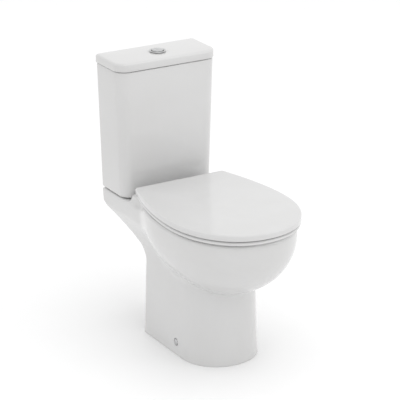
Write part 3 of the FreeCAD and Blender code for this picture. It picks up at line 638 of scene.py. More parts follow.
def pan_field():
    outside, bowl = pan_outside()
    solid = blend_cut(outside, pan_hollow(bowl), 0.004)
    line = trap_line()
    trap = np.maximum(pipe_field(line, 0.049), Y - SPIGOT_END_Y)
    outlet = np.hypot(X, Z - OUTLET.z)
    spigot = np.maximum(outlet - 0.051, np.maximum(Y - SPIGOT_END_Y, SPIGOT_END_Y - SPIGOT_LENGTH - Y))
    duct = block(0.042, BOWL_Y + 0.222, VALVE_Y, SOCKET_Z - 0.036, SOCKET_Z + 0.010)
    socket = upright(0, VALVE_Y, 0.059, SOCKET_Z - 0.030, SHELF_Z - 0.004)
    for piece, radius in ((trap, 0.010), (spigot, 0.004), (duct, 0.006), (socket, 0.006)):
        solid = blend_min(solid, piece, radius)
    void = np.maximum(bowl_field(BOWL_HALF - CHINA, BOWL_FRONT - CHINA, BOWL_REAR - CHINA,
                                 BOWL_DEPTH - CHINA), Z - (DECK_Z - 0.013))
    mouth = bowl_field(BOWL_HALF - 0.042, BOWL_FRONT - 0.042, BOWL_REAR - 0.062, BOWL_DEPTH)
    mouth = np.maximum(mouth, DECK_Z - 0.020 - Z)
    solid = blend_cut(solid, blend_min(void, mouth, 0.004), 0.006)
    bore = pipe_field(line + [(SPIGOT_END_Y + 0.03, OUTLET.z)], 0.040)
    solid = blend_cut(solid, bore, 0.004)
    solid = blend_cut(solid, block(0.032, BOWL_Y + 0.222, VALVE_Y, SOCKET_Z - 0.026, SOCKET_Z), 0.003)
    solid = blend_cut(solid, upright(0, VALVE_Y, 0.049, SOCKET_Z, 1), 0.003)
    return solid


points, faces = net_over(pan_field(), np.array([axis[0] for axis in grid]), STEP)
points = relax(points, faces, 9)
points[:, 2] = np.maximum(points[:, 2], 0)
pan_china = new_piece("pan_china", points, faces)
print("pan:", len(points), "points,", len(faces), "faces")

# %% [markdown]
# A net with 5 mm cells can't show the crisp edge of a small hole. So the holes for screws, studs,
# bolts and the inlet are cut afterwards with cylinders, by a Boolean modifier that is applied.

# %% Cut round holes
def rod(start, end, radius, sides=48):
    """A plain cylinder from start to end, as a cutting tool."""
    start, end = Vector(start), Vector(end)
    work = bmesh.new()
    turn = (end - start).to_track_quat("Z", "Y").to_matrix().to_4x4()
    place = Matrix.Translation((start + end) / 2) @ turn
    bmesh.ops.create_cone(work, cap_ends=True, segments=sides, radius1=radius, radius2=radius,
                          depth=(end - start).length, matrix=place)
    mesh = bpy.data.meshes.new("cutter")
    work.to_mesh(mesh)
    work.free()
    tool = bpy.data.objects.new("cutter", mesh)
    bpy.context.scene.collection.objects.link(tool)
    return tool


def cut_away(piece, tools):
    """Cuts the tools out of the piece, applies the result and removes the tools."""
    for tool in tools:
        cut = piece.modifiers.new("cut", "BOOLEAN")
        cut.operation = "DIFFERENCE"
        cut.solver = "EXACT"
        cut.object = tool
    bake_modifiers(piece)
    for tool in tools:
        bpy.data.objects.remove(tool)
    return piece


def upright_rod(x, y, low_z, high_z, radius, around=32):
    """A rod that stands on end, for a hole straight down."""
    return rod((x, y, low_z), (x, y, high_z), radius, around)


FIXING_Y, FIXING_Z = WALL - 0.363, 0.037
HINGE_X, POST_Y = 0.078, WALL - 0.172
BOLT_X = 0.076
tidy_mesh(pan_china, 180)
side_x = np.interp(FIXING_Z, profile_z, profile[0])
holes = []
for side in (-1, 1):
    face = (side * (side_x + 0.01), FIXING_Y, FIXING_Z)
    holes.append(rod((side * (side_x - 0.005), FIXING_Y, FIXING_Z), face, 0.011))
    holes.append(rod((side * (side_x - 0.03), FIXING_Y, FIXING_Z), face, 0.0045, 24))
    holes.append(upright_rod(side * HINGE_X, POST_Y, SHELF_Z - SLAB - 0.01, DECK_Z + 0.01, 0.008))
    holes.append(upright_rod(side * BOLT_X, VALVE_Y, SHELF_Z - 0.05, SHELF_Z + 0.01, 0.006))
holes.append(rod((INLET_X, VALVE_Y, SHELF_Z - 0.05), (INLET_X, VALVE_Y, SHELF_Z + 0.01), 0.020))
cut_away(pan_china, holes)
tidy_mesh(pan_china, 50)
print("pan after its holes:", len(pan_china.data.polygons), "faces")

# %% Cut the cistern and the lid
tidy_mesh(cistern_china, 180)
tidy_mesh(lid_china, 180)
wall_screws = mounts["wall_screws"]
screw_half = wall_screws["dims"]["spacing_x_mm"] / 2000
screw_z = wall_screws["pos_m"][2]
holes = [rod((0, VALVE_Y, cistern_low.z - 0.01), (0, VALVE_Y, cistern_low.z + 0.03), 0.0313),
         rod((INLET_X, VALVE_Y, cistern_low.z - 0.01), (INLET_X, VALVE_Y, cistern_low.z + 0.03), 0.0115)]
for side in (-1, 1):
    holes.append(upright_rod(side * BOLT_X, VALVE_Y, cistern_low.z - 0.01, cistern_low.z + 0.03, 0.006))
    screw_x = side * screw_half
    holes.append(rod((screw_x, WALL - 0.02, screw_z), (screw_x, WALL + 0.01, screw_z), 0.004, 32))
cut_away(cistern_china, holes)
cut_away(lid_china, [rod((0, VALVE_Y, lid_low.z - 0.01), (0, VALVE_Y, lid_high.z + 0.02), 0.0205, 64)])
tidy_mesh(cistern_china, 50)
tidy_mesh(lid_china, 50)
tidy_mesh(seat_cover_shell, 60)
tidy_mesh(seat_ring_moulding, 60)
for piece in (cistern_china, lid_china, seat_cover_shell, seat_ring_moulding):
    print(piece.name, len(piece.data.polygons), "faces")

# %% [markdown]
# ## Shared surface effects
# Real surfaces are never even. Three effects come back in nearly every finish here, so each is a
# node group with its own inputs: `uneven_skin` for broad changes of tone, gloss and a fine ripple,
# `fine_scratches` for polished metal, and `settled_dust` for pieces that stand out of reach.

# %% Group: uneven skin
def new_group(name, inputs, outputs):
    tree = bpy.data.node_groups.new(name, "ShaderNodeTree")
    for label, kind, value in inputs:
        tree.interface.new_socket(label, in_out="INPUT", socket_type=kind).default_value = value
    for label, kind in outputs:
        tree.interface.new_socket(label, in_out="OUTPUT", socket_type=kind)
    return tree, tree.nodes.new("NodeGroupInput"), tree.nodes.new("NodeGroupOutput")


def add(tree, kind, **settings):
    node = tree.nodes.new(kind)
    for key, value in settings.items():
        setattr(node, key, value)
    return node


def mixer(tree, factor, a, b):
    """A colour mix whose three inputs are linked."""
    mix = add(tree, "ShaderNodeMix", data_type="RGBA")
    tree.links.new(factor, mix.inputs[0])
    tree.links.new(a, mix.inputs[6])
    tree.links.new(b, mix.inputs[7])
    return mix.outputs[2]


def spread(tree, value, low, high, source=(0.35, 0.65)):
    """Maps a noise value onto a range between two sockets or numbers."""
    node = add(tree, "ShaderNodeMapRange", interpolation_type="SMOOTHSTEP")
    tree.links.new(value, node.inputs["Value"])
    node.inputs["From Min"].default_value, node.inputs["From Max"].default_value = source
    for key, end in (("To Min", low), ("To Max", high)):
        if isinstance(end, (int, float)):
            node.inputs[key].default_value = end
        else:
            tree.links.new(end, node.inputs[key])
    return node.outputs["Result"]


def noise(tree, vector, scale, detail=2.0, roughness=0.5):
    node = add(tree, "ShaderNodeTexNoise")
    tree.links.new(vector, node.inputs["Vector"])
    if isinstance(scale, (int, float)):
        node.inputs["Scale"].default_value = scale
    else:
        tree.links.new(scale, node.inputs["Scale"])
    node.inputs["Detail"].default_value = detail
    node.inputs["Roughness"].default_value = roughness
    return node.outputs["Fac"]


def make_uneven_skin():
    tree, given, out = new_group("uneven_skin", (
        ("Colour", "NodeSocketColor", (0.8, 0.8, 0.8, 1)), ("Tint", "NodeSocketColor", (0.7, 0.7, 0.7, 1)),
        ("Roughness Low", "NodeSocketFloat", 0.1), ("Roughness High", "NodeSocketFloat", 0.2),
        ("Patch Scale", "NodeSocketFloat", 6.0), ("Ripple Scale", "NodeSocketFloat", 90.0)),
        (("Colour", "NodeSocketColor"), ("Roughness", "NodeSocketFloat"), ("Height", "NodeSocketFloat")))
    place = add(tree, "ShaderNodeTexCoord").outputs["Object"]
    patches = noise(tree, place, given.outputs["Patch Scale"], 3.0)
    share = spread(tree, patches, 0.0, 1.0)
    tree.links.new(mixer(tree, share, given.outputs["Colour"], given.outputs["Tint"]), out.inputs["Colour"])
    gloss = noise(tree, place, 23.0, 4.0, 0.6)
    tree.links.new(spread(tree, gloss, given.outputs["Roughness Low"], given.outputs["Roughness High"]),
                   out.inputs["Roughness"])
    tree.links.new(noise(tree, place, given.outputs["Ripple Scale"], 2.0, 0.4), out.inputs["Height"])
    return tree


uneven_skin = make_uneven_skin()


# %% Group: fine scratches
def make_fine_scratches():
    """Long thin marks in two directions, as height and as a little extra roughness."""
    tree, given, out = new_group("fine_scratches", (
        ("Density", "NodeSocketFloat", 400.0), ("Roughness", "NodeSocketFloat", 0.1),
        ("Amount", "NodeSocketFloat", 0.08)),
        (("Roughness", "NodeSocketFloat"), ("Height", "NodeSocketFloat")))
    place = add(tree, "ShaderNodeTexCoord").outputs["Object"]
    marks = []
    for turn in (0.5, 2.1):
        lay = add(tree, "ShaderNodeMapping")
        lay.inputs["Rotation"].default_value = (0.2, 0.3, turn)
        lay.inputs["Scale"].default_value = (1.0, 0.04, 0.3)
        tree.links.new(place, lay.inputs["Vector"])
        marks.append(spread(tree, noise(tree, lay.outputs["Vector"], given.outputs["Density"], 1.0), 0.0, 1.0,
                            (0.66, 0.74)))
    both = add(tree, "ShaderNodeMath", operation="MAXIMUM")
    tree.links.new(marks[0], both.inputs[0])
    tree.links.new(marks[1], both.inputs[1])
    extra = add(tree, "ShaderNodeMath", operation="MULTIPLY_ADD")
    tree.links.new(both.outputs[0], extra.inputs[0])
    tree.links.new(given.outputs["Amount"], extra.inputs[1])
    tree.links.new(given.outputs["Roughness"], extra.inputs[2])
    tree.links.new(extra.outputs[0], out.inputs["Roughness"])
    tree.links.new(both.outputs[0], out.inputs["Height"])
    return tree


fine_scratches = make_fine_scratches()


# %% Group: settled dust
def make_settled_dust():
    """Dust lies thickest on faces that look up, in uneven drifts."""
    tree, given, out = new_group("settled_dust", (
        ("Colour", "NodeSocketColor", (0.8, 0.8, 0.8, 1)), ("Roughness", "NodeSocketFloat", 0.4),
        ("Dust Colour", "NodeSocketColor", (0.42, 0.40, 0.37, 1)), ("Amount", "NodeSocketFloat", 0.5)),
        (("Colour", "NodeSocketColor"), ("Roughness", "NodeSocketFloat")))
    surface = add(tree, "ShaderNodeNewGeometry")
    parts = add(tree, "ShaderNodeSeparateXYZ")
    tree.links.new(surface.outputs["Normal"], parts.inputs[0])
    facing = spread(tree, parts.outputs["Z"], 0.0, 1.0, (0.4, 1.0))
    place = add(tree, "ShaderNodeTexCoord").outputs["Object"]
    drifts = spread(tree, noise(tree, place, 60.0, 5.0, 0.7), 0.25, 1.0)
    lying = add(tree, "ShaderNodeMath", operation="MULTIPLY")
    tree.links.new(facing, lying.inputs[0])
    tree.links.new(drifts, lying.inputs[1])
    amount = add(tree, "ShaderNodeMath", operation="MULTIPLY")
    tree.links.new(lying.outputs[0], amount.inputs[0])
    tree.links.new(given.outputs["Amount"], amount.inputs[1])
    tree.links.new(mixer(tree, amount.outputs[0], given.outputs["Colour"], given.outputs["Dust Colour"]),
                   out.inputs["Colour"])
    rough = add(tree, "ShaderNodeMapRange")
    tree.links.new(amount.outputs[0], rough.inputs["Value"])
    tree.links.new(given.outputs["Roughness"], rough.inputs["To Min"])
    rough.inputs["To Max"].default_value = 0.95
    tree.links.new(rough.outputs["Result"], out.inputs["Roughness"])
    return tree


settled_dust = make_settled_dust()
print("shared effects:", uneven_skin.name, fine_scratches.name, settled_dust.name)

# %% [markdown]
# ## The glaze and the plastics
# Sanitary china is a dense white body under a thick clear glaze. The glaze is very smooth, but it
# pools a little as it melts, so reflections of straight edges waver. A low, wide bump does that.
# The seat is pressed from a hard thermoset: nearly as glossy, slightly warmer, with a finer skin.

# %% Materials with an uneven skin
def group_node(tree, group, **values):
    node = add(tree, "ShaderNodeGroup", node_tree=group)
    for key, value in values.items():
        node.inputs[key.replace("_", " ")].default_value = value
    return node


def grey(value, warmth=0.0):
    return (value * (1 + warmth), value, value * (1 - warmth), 1)


def skin_material(name, colour, tint, gloss, scales, bump, dust=0.0, **fixed):
    """A shader fed by uneven_skin, with its ripple as a bump and dust on top where it is wanted."""
    material = bpy.data.materials.new(name)
    material.use_nodes = True
    tree = material.node_tree
    shader = tree.nodes["Principled BSDF"]
    skin_node = group_node(tree, uneven_skin, Colour=colour, Tint=tint, Roughness_Low=gloss[0],
                           Roughness_High=gloss[1], Patch_Scale=scales[0], Ripple_Scale=scales[1])
    colour_out, rough_out = skin_node.outputs["Colour"], skin_node.outputs["Roughness"]
    if dust:
        lying = group_node(tree, settled_dust, Amount=dust)
        tree.links.new(colour_out, lying.inputs["Colour"])
        tree.links.new(rough_out, lying.inputs["Roughness"])
        colour_out, rough_out = lying.outputs["Colour"], lying.outputs["Roughness"]
    tree.links.new(colour_out, shader.inputs["Base Color"])
    tree.links.new(rough_out, shader.inputs["Roughness"])
    relief = add(tree, "ShaderNodeBump")
    relief.inputs["Strength"].default_value = 1.0
    relief.inputs["Distance"].default_value = bump
    tree.links.new(skin_node.outputs["Height"], relief.inputs["Height"])
    tree.links.new(relief.outputs["Normal"], shader.inputs["Normal"])
    for key, value in fixed.items():
        shader.inputs[key.replace("_", " ")].default_value = value
    return material


glazed_china = skin_material("glazed_china", grey(0.61, 0.002), grey(0.59, 0.005), (0.07, 0.12), (4.0, 38.0),
                             0.0003, Coat_Weight=0.3, Coat_Roughness=0.04)
seat_gloss = skin_material("seat_gloss", grey(0.625, 0.001), grey(0.61, 0.003), (0.12, 0.2), (9.0, 240.0),
                           0.00003, Coat_Weight=0.1, Coat_Roughness=0.08)
valve_white = skin_material("valve_white", grey(0.72, 0.010), grey(0.66, 0.030), (0.38, 0.52), (25.0, 700.0),
                            0.00004, dust=0.25)
valve_blue = skin_material("valve_blue", (0.035, 0.115, 0.33, 1), (0.03, 0.09, 0.27, 1), (0.35, 0.5),
                           (25.0, 700.0), 0.00004, dust=0.2)
nut_plastic = skin_material("nut_plastic", grey(0.48), grey(0.42, 0.01), (0.42, 0.56), (40.0, 800.0), 0.00005,
                            dust=0.45)
black_rubber = skin_material("black_rubber", grey(0.022), grey(0.035), (0.55, 0.75), (50.0, 900.0), 0.00008,
                             dust=0.35)
buffer_rubber = skin_material("buffer_rubber", grey(0.76, 0.006), grey(0.70, 0.02), (0.5, 0.65),
                              (80.0, 900.0), 0.00005, Subsurface_Weight=0.05)
print("skins made:", len(bpy.data.materials))

# %% [markdown]
# ## Metals
# The button and the hinges are chrome plated: mirror-like, with a trace of fine scratches from
# cleaning. Bolts and studs are zinc plated, which is duller and shows crystal patches.

# %% Chrome and zinc
def metal_material(name, colour, tint, roughness, marks, density, patches, bump):
    material = bpy.data.materials.new(name)
    material.use_nodes = True
    tree = material.node_tree
    shader = tree.nodes["Principled BSDF"]
    shader.inputs["Metallic"].default_value = 1.0
    skin_node = group_node(tree, uneven_skin, Colour=colour, Tint=tint, Patch_Scale=patches)
    tree.links.new(skin_node.outputs["Colour"], shader.inputs["Base Color"])
    scratch_node = group_node(tree, fine_scratches, Density=density, Roughness=roughness, Amount=marks)
    tree.links.new(scratch_node.outputs["Roughness"], shader.inputs["Roughness"])
    relief = add(tree, "ShaderNodeBump")
    relief.inputs["Distance"].default_value = bump
    tree.links.new(scratch_node.outputs["Height"], relief.inputs["Height"])
    tree.links.new(relief.outputs["Normal"], shader.inputs["Normal"])
    return material


chrome = metal_material("chrome_plate", grey(0.56), grey(0.53, -0.01), 0.05, 0.12, 900.0, 60.0, 0.000004)
zinc_steel = metal_material("zinc_steel", grey(0.50, -0.01), grey(0.40, 0.01), 0.30, 0.15, 1500.0, 300.0,
                            0.00002)
print("metals:", chrome.name, zinc_steel.name)

# %% [markdown]
# ## China and seat get their finish
# Each piece now says what it moves with and which node of the model it stands for. The lid rides
# on its own body, because it lifts off; the ring and the cover turn on the hinge.

# %% Finish the large pieces
finish_piece(pan_china, "pan_and_cistern", "ceramic", glazed_china, *PAN_NODES)
finish_piece(cistern_china, "pan_and_cistern", "ceramic", glazed_china, "cistern")
finish_piece(lid_china, "lid", "ceramic", glazed_china, "cistern_lid")
finish_piece(seat_ring_moulding, "seat", "seat_plastic", seat_gloss, "seat_ring")
finish_piece(seat_cover_shell, "cover", "seat_plastic", seat_gloss, "seat_cover")

# %% [markdown]
# ## The flush button
# A dual flush button is turned and plated: a flat bezel that clamps the barrel to the lid, and two
# caps inside it. The caps are one disc cut along a chord, the larger part for the full flush. A
# turned piece is a profile spun round an axis, so `turned` joins rings of a given radius and height.

# %% Turned pieces
def turned(name, profile, x=0.0, y=0.0, sides=96, loop=False):
    """Spins (radius, height) pairs round an upright axis; loop closes the profile on itself."""
    angles = [2 * math.pi * i / sides for i in range(sides)]
    rings = [[(x + r * math.cos(a), y + r * math.sin(a), z) for a in angles] for r, z in profile]
    return skin(name, rings, loop=loop)


bezel = turned("flush_bezel", (
    (0.0195, bezel_low.z), (0.0203, bezel_low.z), (0.0203, lid_high.z), (0.0215, lid_high.z),
    (0.0222, lid_high.z + 0.0008), (0.0236, bezel_high.z - 0.0016), (0.0240, bezel_high.z - 0.0011),
    (0.0240, bezel_high.z - 0.0007), (0.0236, bezel_high.z - 0.0002), (0.0230, bezel_high.z),
    (0.0192, bezel_high.z - 0.0001), (0.0187, bezel_high.z - 0.0004), (0.0184, bezel_high.z - 0.0010),
    (0.0183, bezel_high.z - 0.0045), (0.0183, lid_low.z + 0.006), (0.0195, lid_low.z + 0.005)),
    0.0, VALVE_Y, loop=True)
tidy_mesh(bezel, 35)
finish_piece(bezel, "lid", "chrome", chrome, "button_bezel")


# %% The two caps: one crowned disc, cut along a chord
def cap_outline(side, chord, radius, inset):
    """Outline of the part of a disc on one side of a chord, drawn in by an inset, with round ends."""
    r = radius - inset
    edge = chord + side * inset
    reach = math.acos(max(-1, min(1, edge / r)))
    start, end = (-reach, reach) if side > 0 else (reach, 2 * math.pi - reach)
    arc = [(r * math.cos(a), r * math.sin(a)) for a in np.linspace(start, end, 60)]
    (x0, y0), (x1, y1) = arc[-1], arc[0]
    line = [(x0 + (x1 - x0) * t, y0 + (y1 - y0) * t) for t in np.linspace(0, 1, 26)[1:-1]]
    return arc + line


def make_cap(name, node, side):
    low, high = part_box(node)
    chord = low.x if side > 0 else high.x
    radius = (high.y - low.y) / 2 if side > 0 else max(-low.x, (high.y - low.y) / 2)
    top, bottom = high.z, high.z - 0.012
    levels = [(0.0005, bottom), (0.0, bottom + 0.0006)]
    levels += [(inset, top - 0.0020 + rise) for inset, rise in quarter_round(0.0013, 5)]
    levels += [(0.0026, top - 0.0004), (0.0045, top - 0.0001), (0.0062, top)]
    rings = []
    for inset, z in levels:
        outline = cap_outline(side, chord, radius, inset)
        rings.append([(x, VALVE_Y + y, z) for x, y in outline])
    cap = skin(name, rings)
    tidy_mesh(cap, 40)
    rod_x = 0.009 * side
    push_rod = rod((rod_x, VALVE_Y, low.z), (rod_x, VALVE_Y, bottom + 0.001), 0.0025, 24)
    return join(name, [cap, push_rod])


def join(name, pieces):
    """Makes one mesh out of several, all of them at the origin."""
    work = bmesh.new()
    for piece in pieces:
        work.from_mesh(piece.data)
    mesh = bpy.data.meshes.new(name)
    work.to_mesh(mesh)
    work.free()
    for piece in pieces[1:]:
        bpy.data.objects.remove(piece)
    pieces[0].data = mesh
    tidy_mesh(pieces[0], 40)
    return pieces[0]


full_cap = make_cap("full_flush_cap", "full_flush_button", 1)
half_cap = make_cap("half_flush_cap", "half_flush_button", -1)
finish_piece(full_cap, "full_button", "chrome", chrome, "full_flush_button")
finish_piece(half_cap, "half_button", "chrome", chrome, "half_flush_button")

# %% [markdown]
# ## Softened copies of small castings
# Hinge posts, lugs and brackets have the right shape in the model, but their edges are sharp. Real
# castings have a small radius on every edge, which is what catches the light. The copy is merged,
# because the model's mesh is loose triangles, then its flat faces are joined and its edges bevelled.

# %% Copies with rounded edges
def softened(node, radius, crease=32, segments=2):
    source = frame["nodes"][node]
    piece = bpy.data.objects.new(node + "_soft", source.data.copy())
    piece.data.materials.clear()
    bpy.context.scene.collection.objects.link(piece)
    work = bmesh.new()
    work.from_mesh(piece.data)
    bmesh.ops.remove_doubles(work, verts=work.verts, dist=2e-6)
    bmesh.ops.dissolve_limit(work, angle_limit=math.radians(1), verts=work.verts, edges=work.edges)
    work.to_mesh(piece.data)
    work.free()
    bevel = piece.modifiers.new("edges", "BEVEL")
    bevel.width = radius
    bevel.segments = segments
    bevel.limit_method = "ANGLE"
    bevel.angle_limit = math.radians(crease)
    bevel.use_clamp_overlap = True
    bake_modifiers(piece)
    tidy_mesh(piece, crease)
    return piece


for node, body, material, radius in (
        ("hinge_posts", "pan_and_cistern", chrome, 0.0009), ("seat_lugs", "seat", chrome, 0.0007),
        ("cover_lugs", "cover", chrome, 0.0007), ("hinge_pins", "seat", chrome, 0.0004),
        ("floor_brackets", "pan_and_cistern", nut_plastic, 0.0007)):
    soft = softened(node, radius)
    finish_piece(soft, body, soft_slot(node), material, node)

# %% [markdown]
# ## What repeats is grown from points
# Bolts, studs, wing nuts and buffers come in sets. Geometry Nodes build one of each, with its sizes
# as named inputs, and set a copy on every point of a small mesh of places. The helper below keeps
# the usual steps together: build, feed the inputs by their identifiers, turn into a plain mesh.

# %% Helpers for Geometry Nodes
class Grown:
    """A Geometry Nodes tree under construction, with short ways to add and link nodes."""

    def __init__(self, name, inputs):
        self.tree = bpy.data.node_groups.new(name, "GeometryNodeTree")
        face = self.tree.interface
        face.new_socket("Places", in_out="INPUT", socket_type="NodeSocketGeometry")
        self.ids = {}
        for label, kind, value in inputs:
            socket = face.new_socket(label, in_out="INPUT", socket_type="NodeSocket" + kind)
            socket.default_value = value
            self.ids[label] = socket.identifier
        socket = face.new_socket("Finish", in_out="INPUT", socket_type="NodeSocketMaterial")
        self.ids["Finish"] = socket.identifier
        face.new_socket("Geometry", in_out="OUTPUT", socket_type="NodeSocketGeometry")
        self.given = self.tree.nodes.new("NodeGroupInput").outputs
        self.result = self.tree.nodes.new("NodeGroupOutput").inputs["Geometry"]

    def node(self, kind, out=0, settings=None, **links):
        """Adds a node; each link is a socket or a value. Returns one of its outputs."""
        node = self.tree.nodes.new("GeometryNode" + kind if not kind.startswith("Shader") else kind)
        for key, value in (settings or {}).items():
            setattr(node, key, value)
        for key, value in links.items():
            numbered = key[0] == "i" and key[1:].isdigit()
            socket = node.inputs[int(key[1:]) if numbered else key.replace("_", " ")]
            if isinstance(value, bpy.types.NodeSocket):
                self.tree.links.new(value, socket)
            else:
                socket.default_value = value
        return node.outputs[out]

    def math(self, operation, a, b=0.0):
        return self.node("ShaderNodeMath", settings={"operation": operation}, i0=a, i1=b)

    def join(self, *parts):
        node = self.tree.nodes.new("GeometryNodeJoinGeometry")
        for part in parts:
            self.tree.links.new(part, node.inputs[0])
        return node.outputs[0]

    def moved(self, part, z=0.0, turn=(0.0, 0.0, 0.0), scale=(1.0, 1.0, 1.0), x=0.0, y=0.0):
        place = self.node("ShaderNodeCombineXYZ", i0=x, i1=y, i2=z)
        return self.node("Transform", Geometry=part, Translation=place, Rotation=turn, Scale=scale)

    def at_places(self, part):
        """Ends the tree: one copy at each point, made real, with its finish."""
        copies = self.node("InstanceOnPoints", Points=self.given["Places"], Instance=part)
        real = self.node("RealizeInstances", Geometry=copies)
        painted = self.node("SetMaterial", Geometry=real, Material=self.given["Finish"])
        self.tree.links.new(painted, self.result)


def grow(name, grown, places, body, slot, material, nodes, crease=40, **sizes):
    """Runs a tree on a mesh of places and finishes the plain mesh that comes out."""
    piece = new_piece(name, places, [])
    modifier = piece.modifiers.new("grow", "NODES")
    modifier.node_group = grown.tree
    for label, value in sizes.items():
        modifier[grown.ids[label.replace("_", " ")]] = value
    modifier[grown.ids["Finish"]] = material
    bake_modifiers(piece)
    tidy_mesh(piece, crease)
    return finish_piece(piece, body, slot, material, *nodes)


# %% Tree: a threaded bolt or stud
def make_bolt_tree():
    """A shank with a helical thread, and a six-sided head on top."""
    g = Grown("threaded_bolt", (("Radius", "Float", 0.004), ("Length", "Float", 0.06),
                                ("Pitch", "Float", 0.00125), ("Head Radius", "Float", 0.0),
                                ("Head Height", "Float", 0.0)))
    radius, length, pitch = (g.given[k] for k in ("Radius", "Length", "Pitch"))
    core_radius = g.math("SUBTRACT", radius, g.math("MULTIPLY", pitch, 0.5))
    core = g.node("MeshCylinder", Vertices=24, Radius=core_radius, Depth=length)
    core = g.moved(core, z=g.math("MULTIPLY", length, -0.5))
    run = g.math("SUBTRACT", length, g.math("MULTIPLY", pitch, 1.2))
    line = g.node("CurveSpiral", Resolution=14, Rotations=g.math("DIVIDE", run, pitch),
                  Start_Radius=core_radius, End_Radius=core_radius, Height=run)
    ridge = g.node("CurvePrimitiveCircle", Resolution=6, Radius=g.math("MULTIPLY", pitch, 0.48))
    thread = g.node("CurveToMesh", Curve=line, Profile_Curve=ridge, Fill_Caps=True)
    low = g.math("SUBTRACT", g.math("MULTIPLY", pitch, 0.6), length)
    thread = g.moved(thread, z=low)
    head = g.node("MeshCylinder", Vertices=6, Radius=g.given["Head Radius"], Depth=g.given["Head Height"])
    head = g.moved(head, z=g.math("MULTIPLY", g.given["Head Height"], 0.5))
    collar = g.node("MeshCylinder", Vertices=40, Radius=g.math("MULTIPLY", g.given["Head Radius"], 0.86),
                    Depth=g.math("MULTIPLY", g.given["Head Height"], 1.0))
    collar = g.moved(collar, z=g.math("MULTIPLY", g.given["Head Height"], 0.5))
    g.at_places(g.join(core, thread, head, collar))
    return g


def both_sides(x, y, z):
    return [(-x, y, z), (x, y, z)]


BOLT_HEAD = 0.0055
bolt_tree = make_bolt_tree()
low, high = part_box("coupling_bolts")
grow("coupling_bolts_threaded", bolt_tree, both_sides(BOLT_X, VALVE_Y, high.z - BOLT_HEAD),
     "pan_and_cistern", "steel", zinc_steel, ("coupling_bolts",), Length=high.z - BOLT_HEAD - low.z,
     Head_Radius=0.008, Head_Height=BOLT_HEAD)
low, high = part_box("hinge_studs")
grow("hinge_studs_threaded", bolt_tree, both_sides(HINGE_X, POST_Y, high.z), "pan_and_cistern",
     "steel", zinc_steel, ("hinge_studs",), Length=high.z - low.z)


# %% Tree: a wing nut
def make_wing_nut_tree():
    """A tapered hub and two rounded wings; Turn sets which way the wings point, in radians."""
    g = Grown("wing_nut", (("Hub Radius", "Float", 0.0085), ("Height", "Float", 0.015),
                           ("Span", "Float", 0.018), ("Thickness", "Float", 0.0035),
                           ("Turn", "Float", 0.0)))
    height, span = g.given["Height"], g.given["Span"]
    hub = g.node("MeshCone", Vertices=36, Side_Segments=3, Radius_Top=g.given["Hub Radius"],
                 Radius_Bottom=g.math("MULTIPLY", g.given["Hub Radius"], 0.78), Depth=height)
    wing = g.node("MeshUVSphere", Segments=24, Rings=16, Radius=0.5)
    size = g.node("ShaderNodeCombineXYZ", i0=g.math("MULTIPLY", span, 0.62), i1=g.given["Thickness"],
                  i2=g.math("MULTIPLY", height, 0.86))
    wings = [g.moved(wing, x=g.math("MULTIPLY", span, side * 0.66), z=g.math("MULTIPLY", height, 0.57),
                     scale=size)
             for side in (-1, 1)]
    facing = g.node("ShaderNodeCombineXYZ", i2=g.given["Turn"])
    g.at_places(g.node("Transform", Geometry=g.join(hub, *wings), Rotation=facing))
    return g


wing_nut_tree = make_wing_nut_tree()
NUTS = (("coupling_wing_nuts", BOLT_X, VALVE_Y, math.pi / 2), ("hinge_wing_nuts", HINGE_X, POST_Y, 0.0))
for node, x, y, turn in NUTS:
    low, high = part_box(node)
    span = (high.y - low.y) / 2 if turn else high.x - x
    grow(node + "_moulded", wing_nut_tree, both_sides(x, y, low.z), "pan_and_cistern", "nut_plastic",
         nut_plastic, (node,), Height=high.z - low.z, Span=span * 0.99, Turn=turn)


# %% Tree: a soft buffer
def make_buffer_tree():
    """A low round pad with a domed foot, like the ones pressed into the underside of a seat."""
    g = Grown("soft_buffer", (("Radius", "Float", 0.008), ("Height", "Float", 0.0037)))
    radius, height = g.given["Radius"], g.given["Height"]
    line = g.node("CurvePrimitiveLine", Start=(0.0, 0.0, 0.0), End=(0.0, 0.0, 1.0))
    line = g.node("ResampleCurve", Curve=line, Count=14)
    along = g.node("SplineParameter")
    dome = g.math("SQRT", g.math("SUBTRACT", 1.0, g.math("POWER", g.math("SUBTRACT", 1.0, along), 3.0)))
    widen = g.node("SetCurveRadius", Curve=line, Radius=g.math("MAXIMUM", dome, 0.02))
    ring = g.node("CurvePrimitiveCircle", Resolution=40, Radius=radius)
    pad = g.tree.nodes.new("GeometryNodeCurveToMesh")
    g.tree.links.new(widen, pad.inputs["Curve"])
    g.tree.links.new(ring, pad.inputs["Profile Curve"])
    pad.inputs["Fill Caps"].default_value = True
    if "Scale" in pad.inputs:
        g.tree.links.new(g.math("MAXIMUM", dome, 0.02), pad.inputs["Scale"])
    size = g.node("ShaderNodeCombineXYZ", i0=1.0, i1=1.0, i2=height)
    g.at_places(g.node("Transform", Geometry=pad.outputs[0], Scale=size))
    return g


def islands(node):
    """Centre and size of each separate solid of a node, read from its mesh."""
    work = bmesh.new()
    work.from_mesh(frame["nodes"][node].data)
    bmesh.ops.remove_doubles(work, verts=work.verts, dist=2e-6)
    left, found = set(work.verts), []
    while left:
        queue, group = [left.pop()], []
        while queue:
            vert = queue.pop()
            group.append(vert.co.copy())
            for edge in vert.link_edges:
                other = edge.other_vert(vert)
                if other in left:
                    left.remove(other)
                    queue.append(other)
        low = Vector([min(c[i] for c in group) for i in range(3)])
        high = Vector([max(c[i] for c in group) for i in range(3)])
        found.append((low, high))
    work.free()
    return sorted(found, key=lambda pair: tuple(pair[0]))


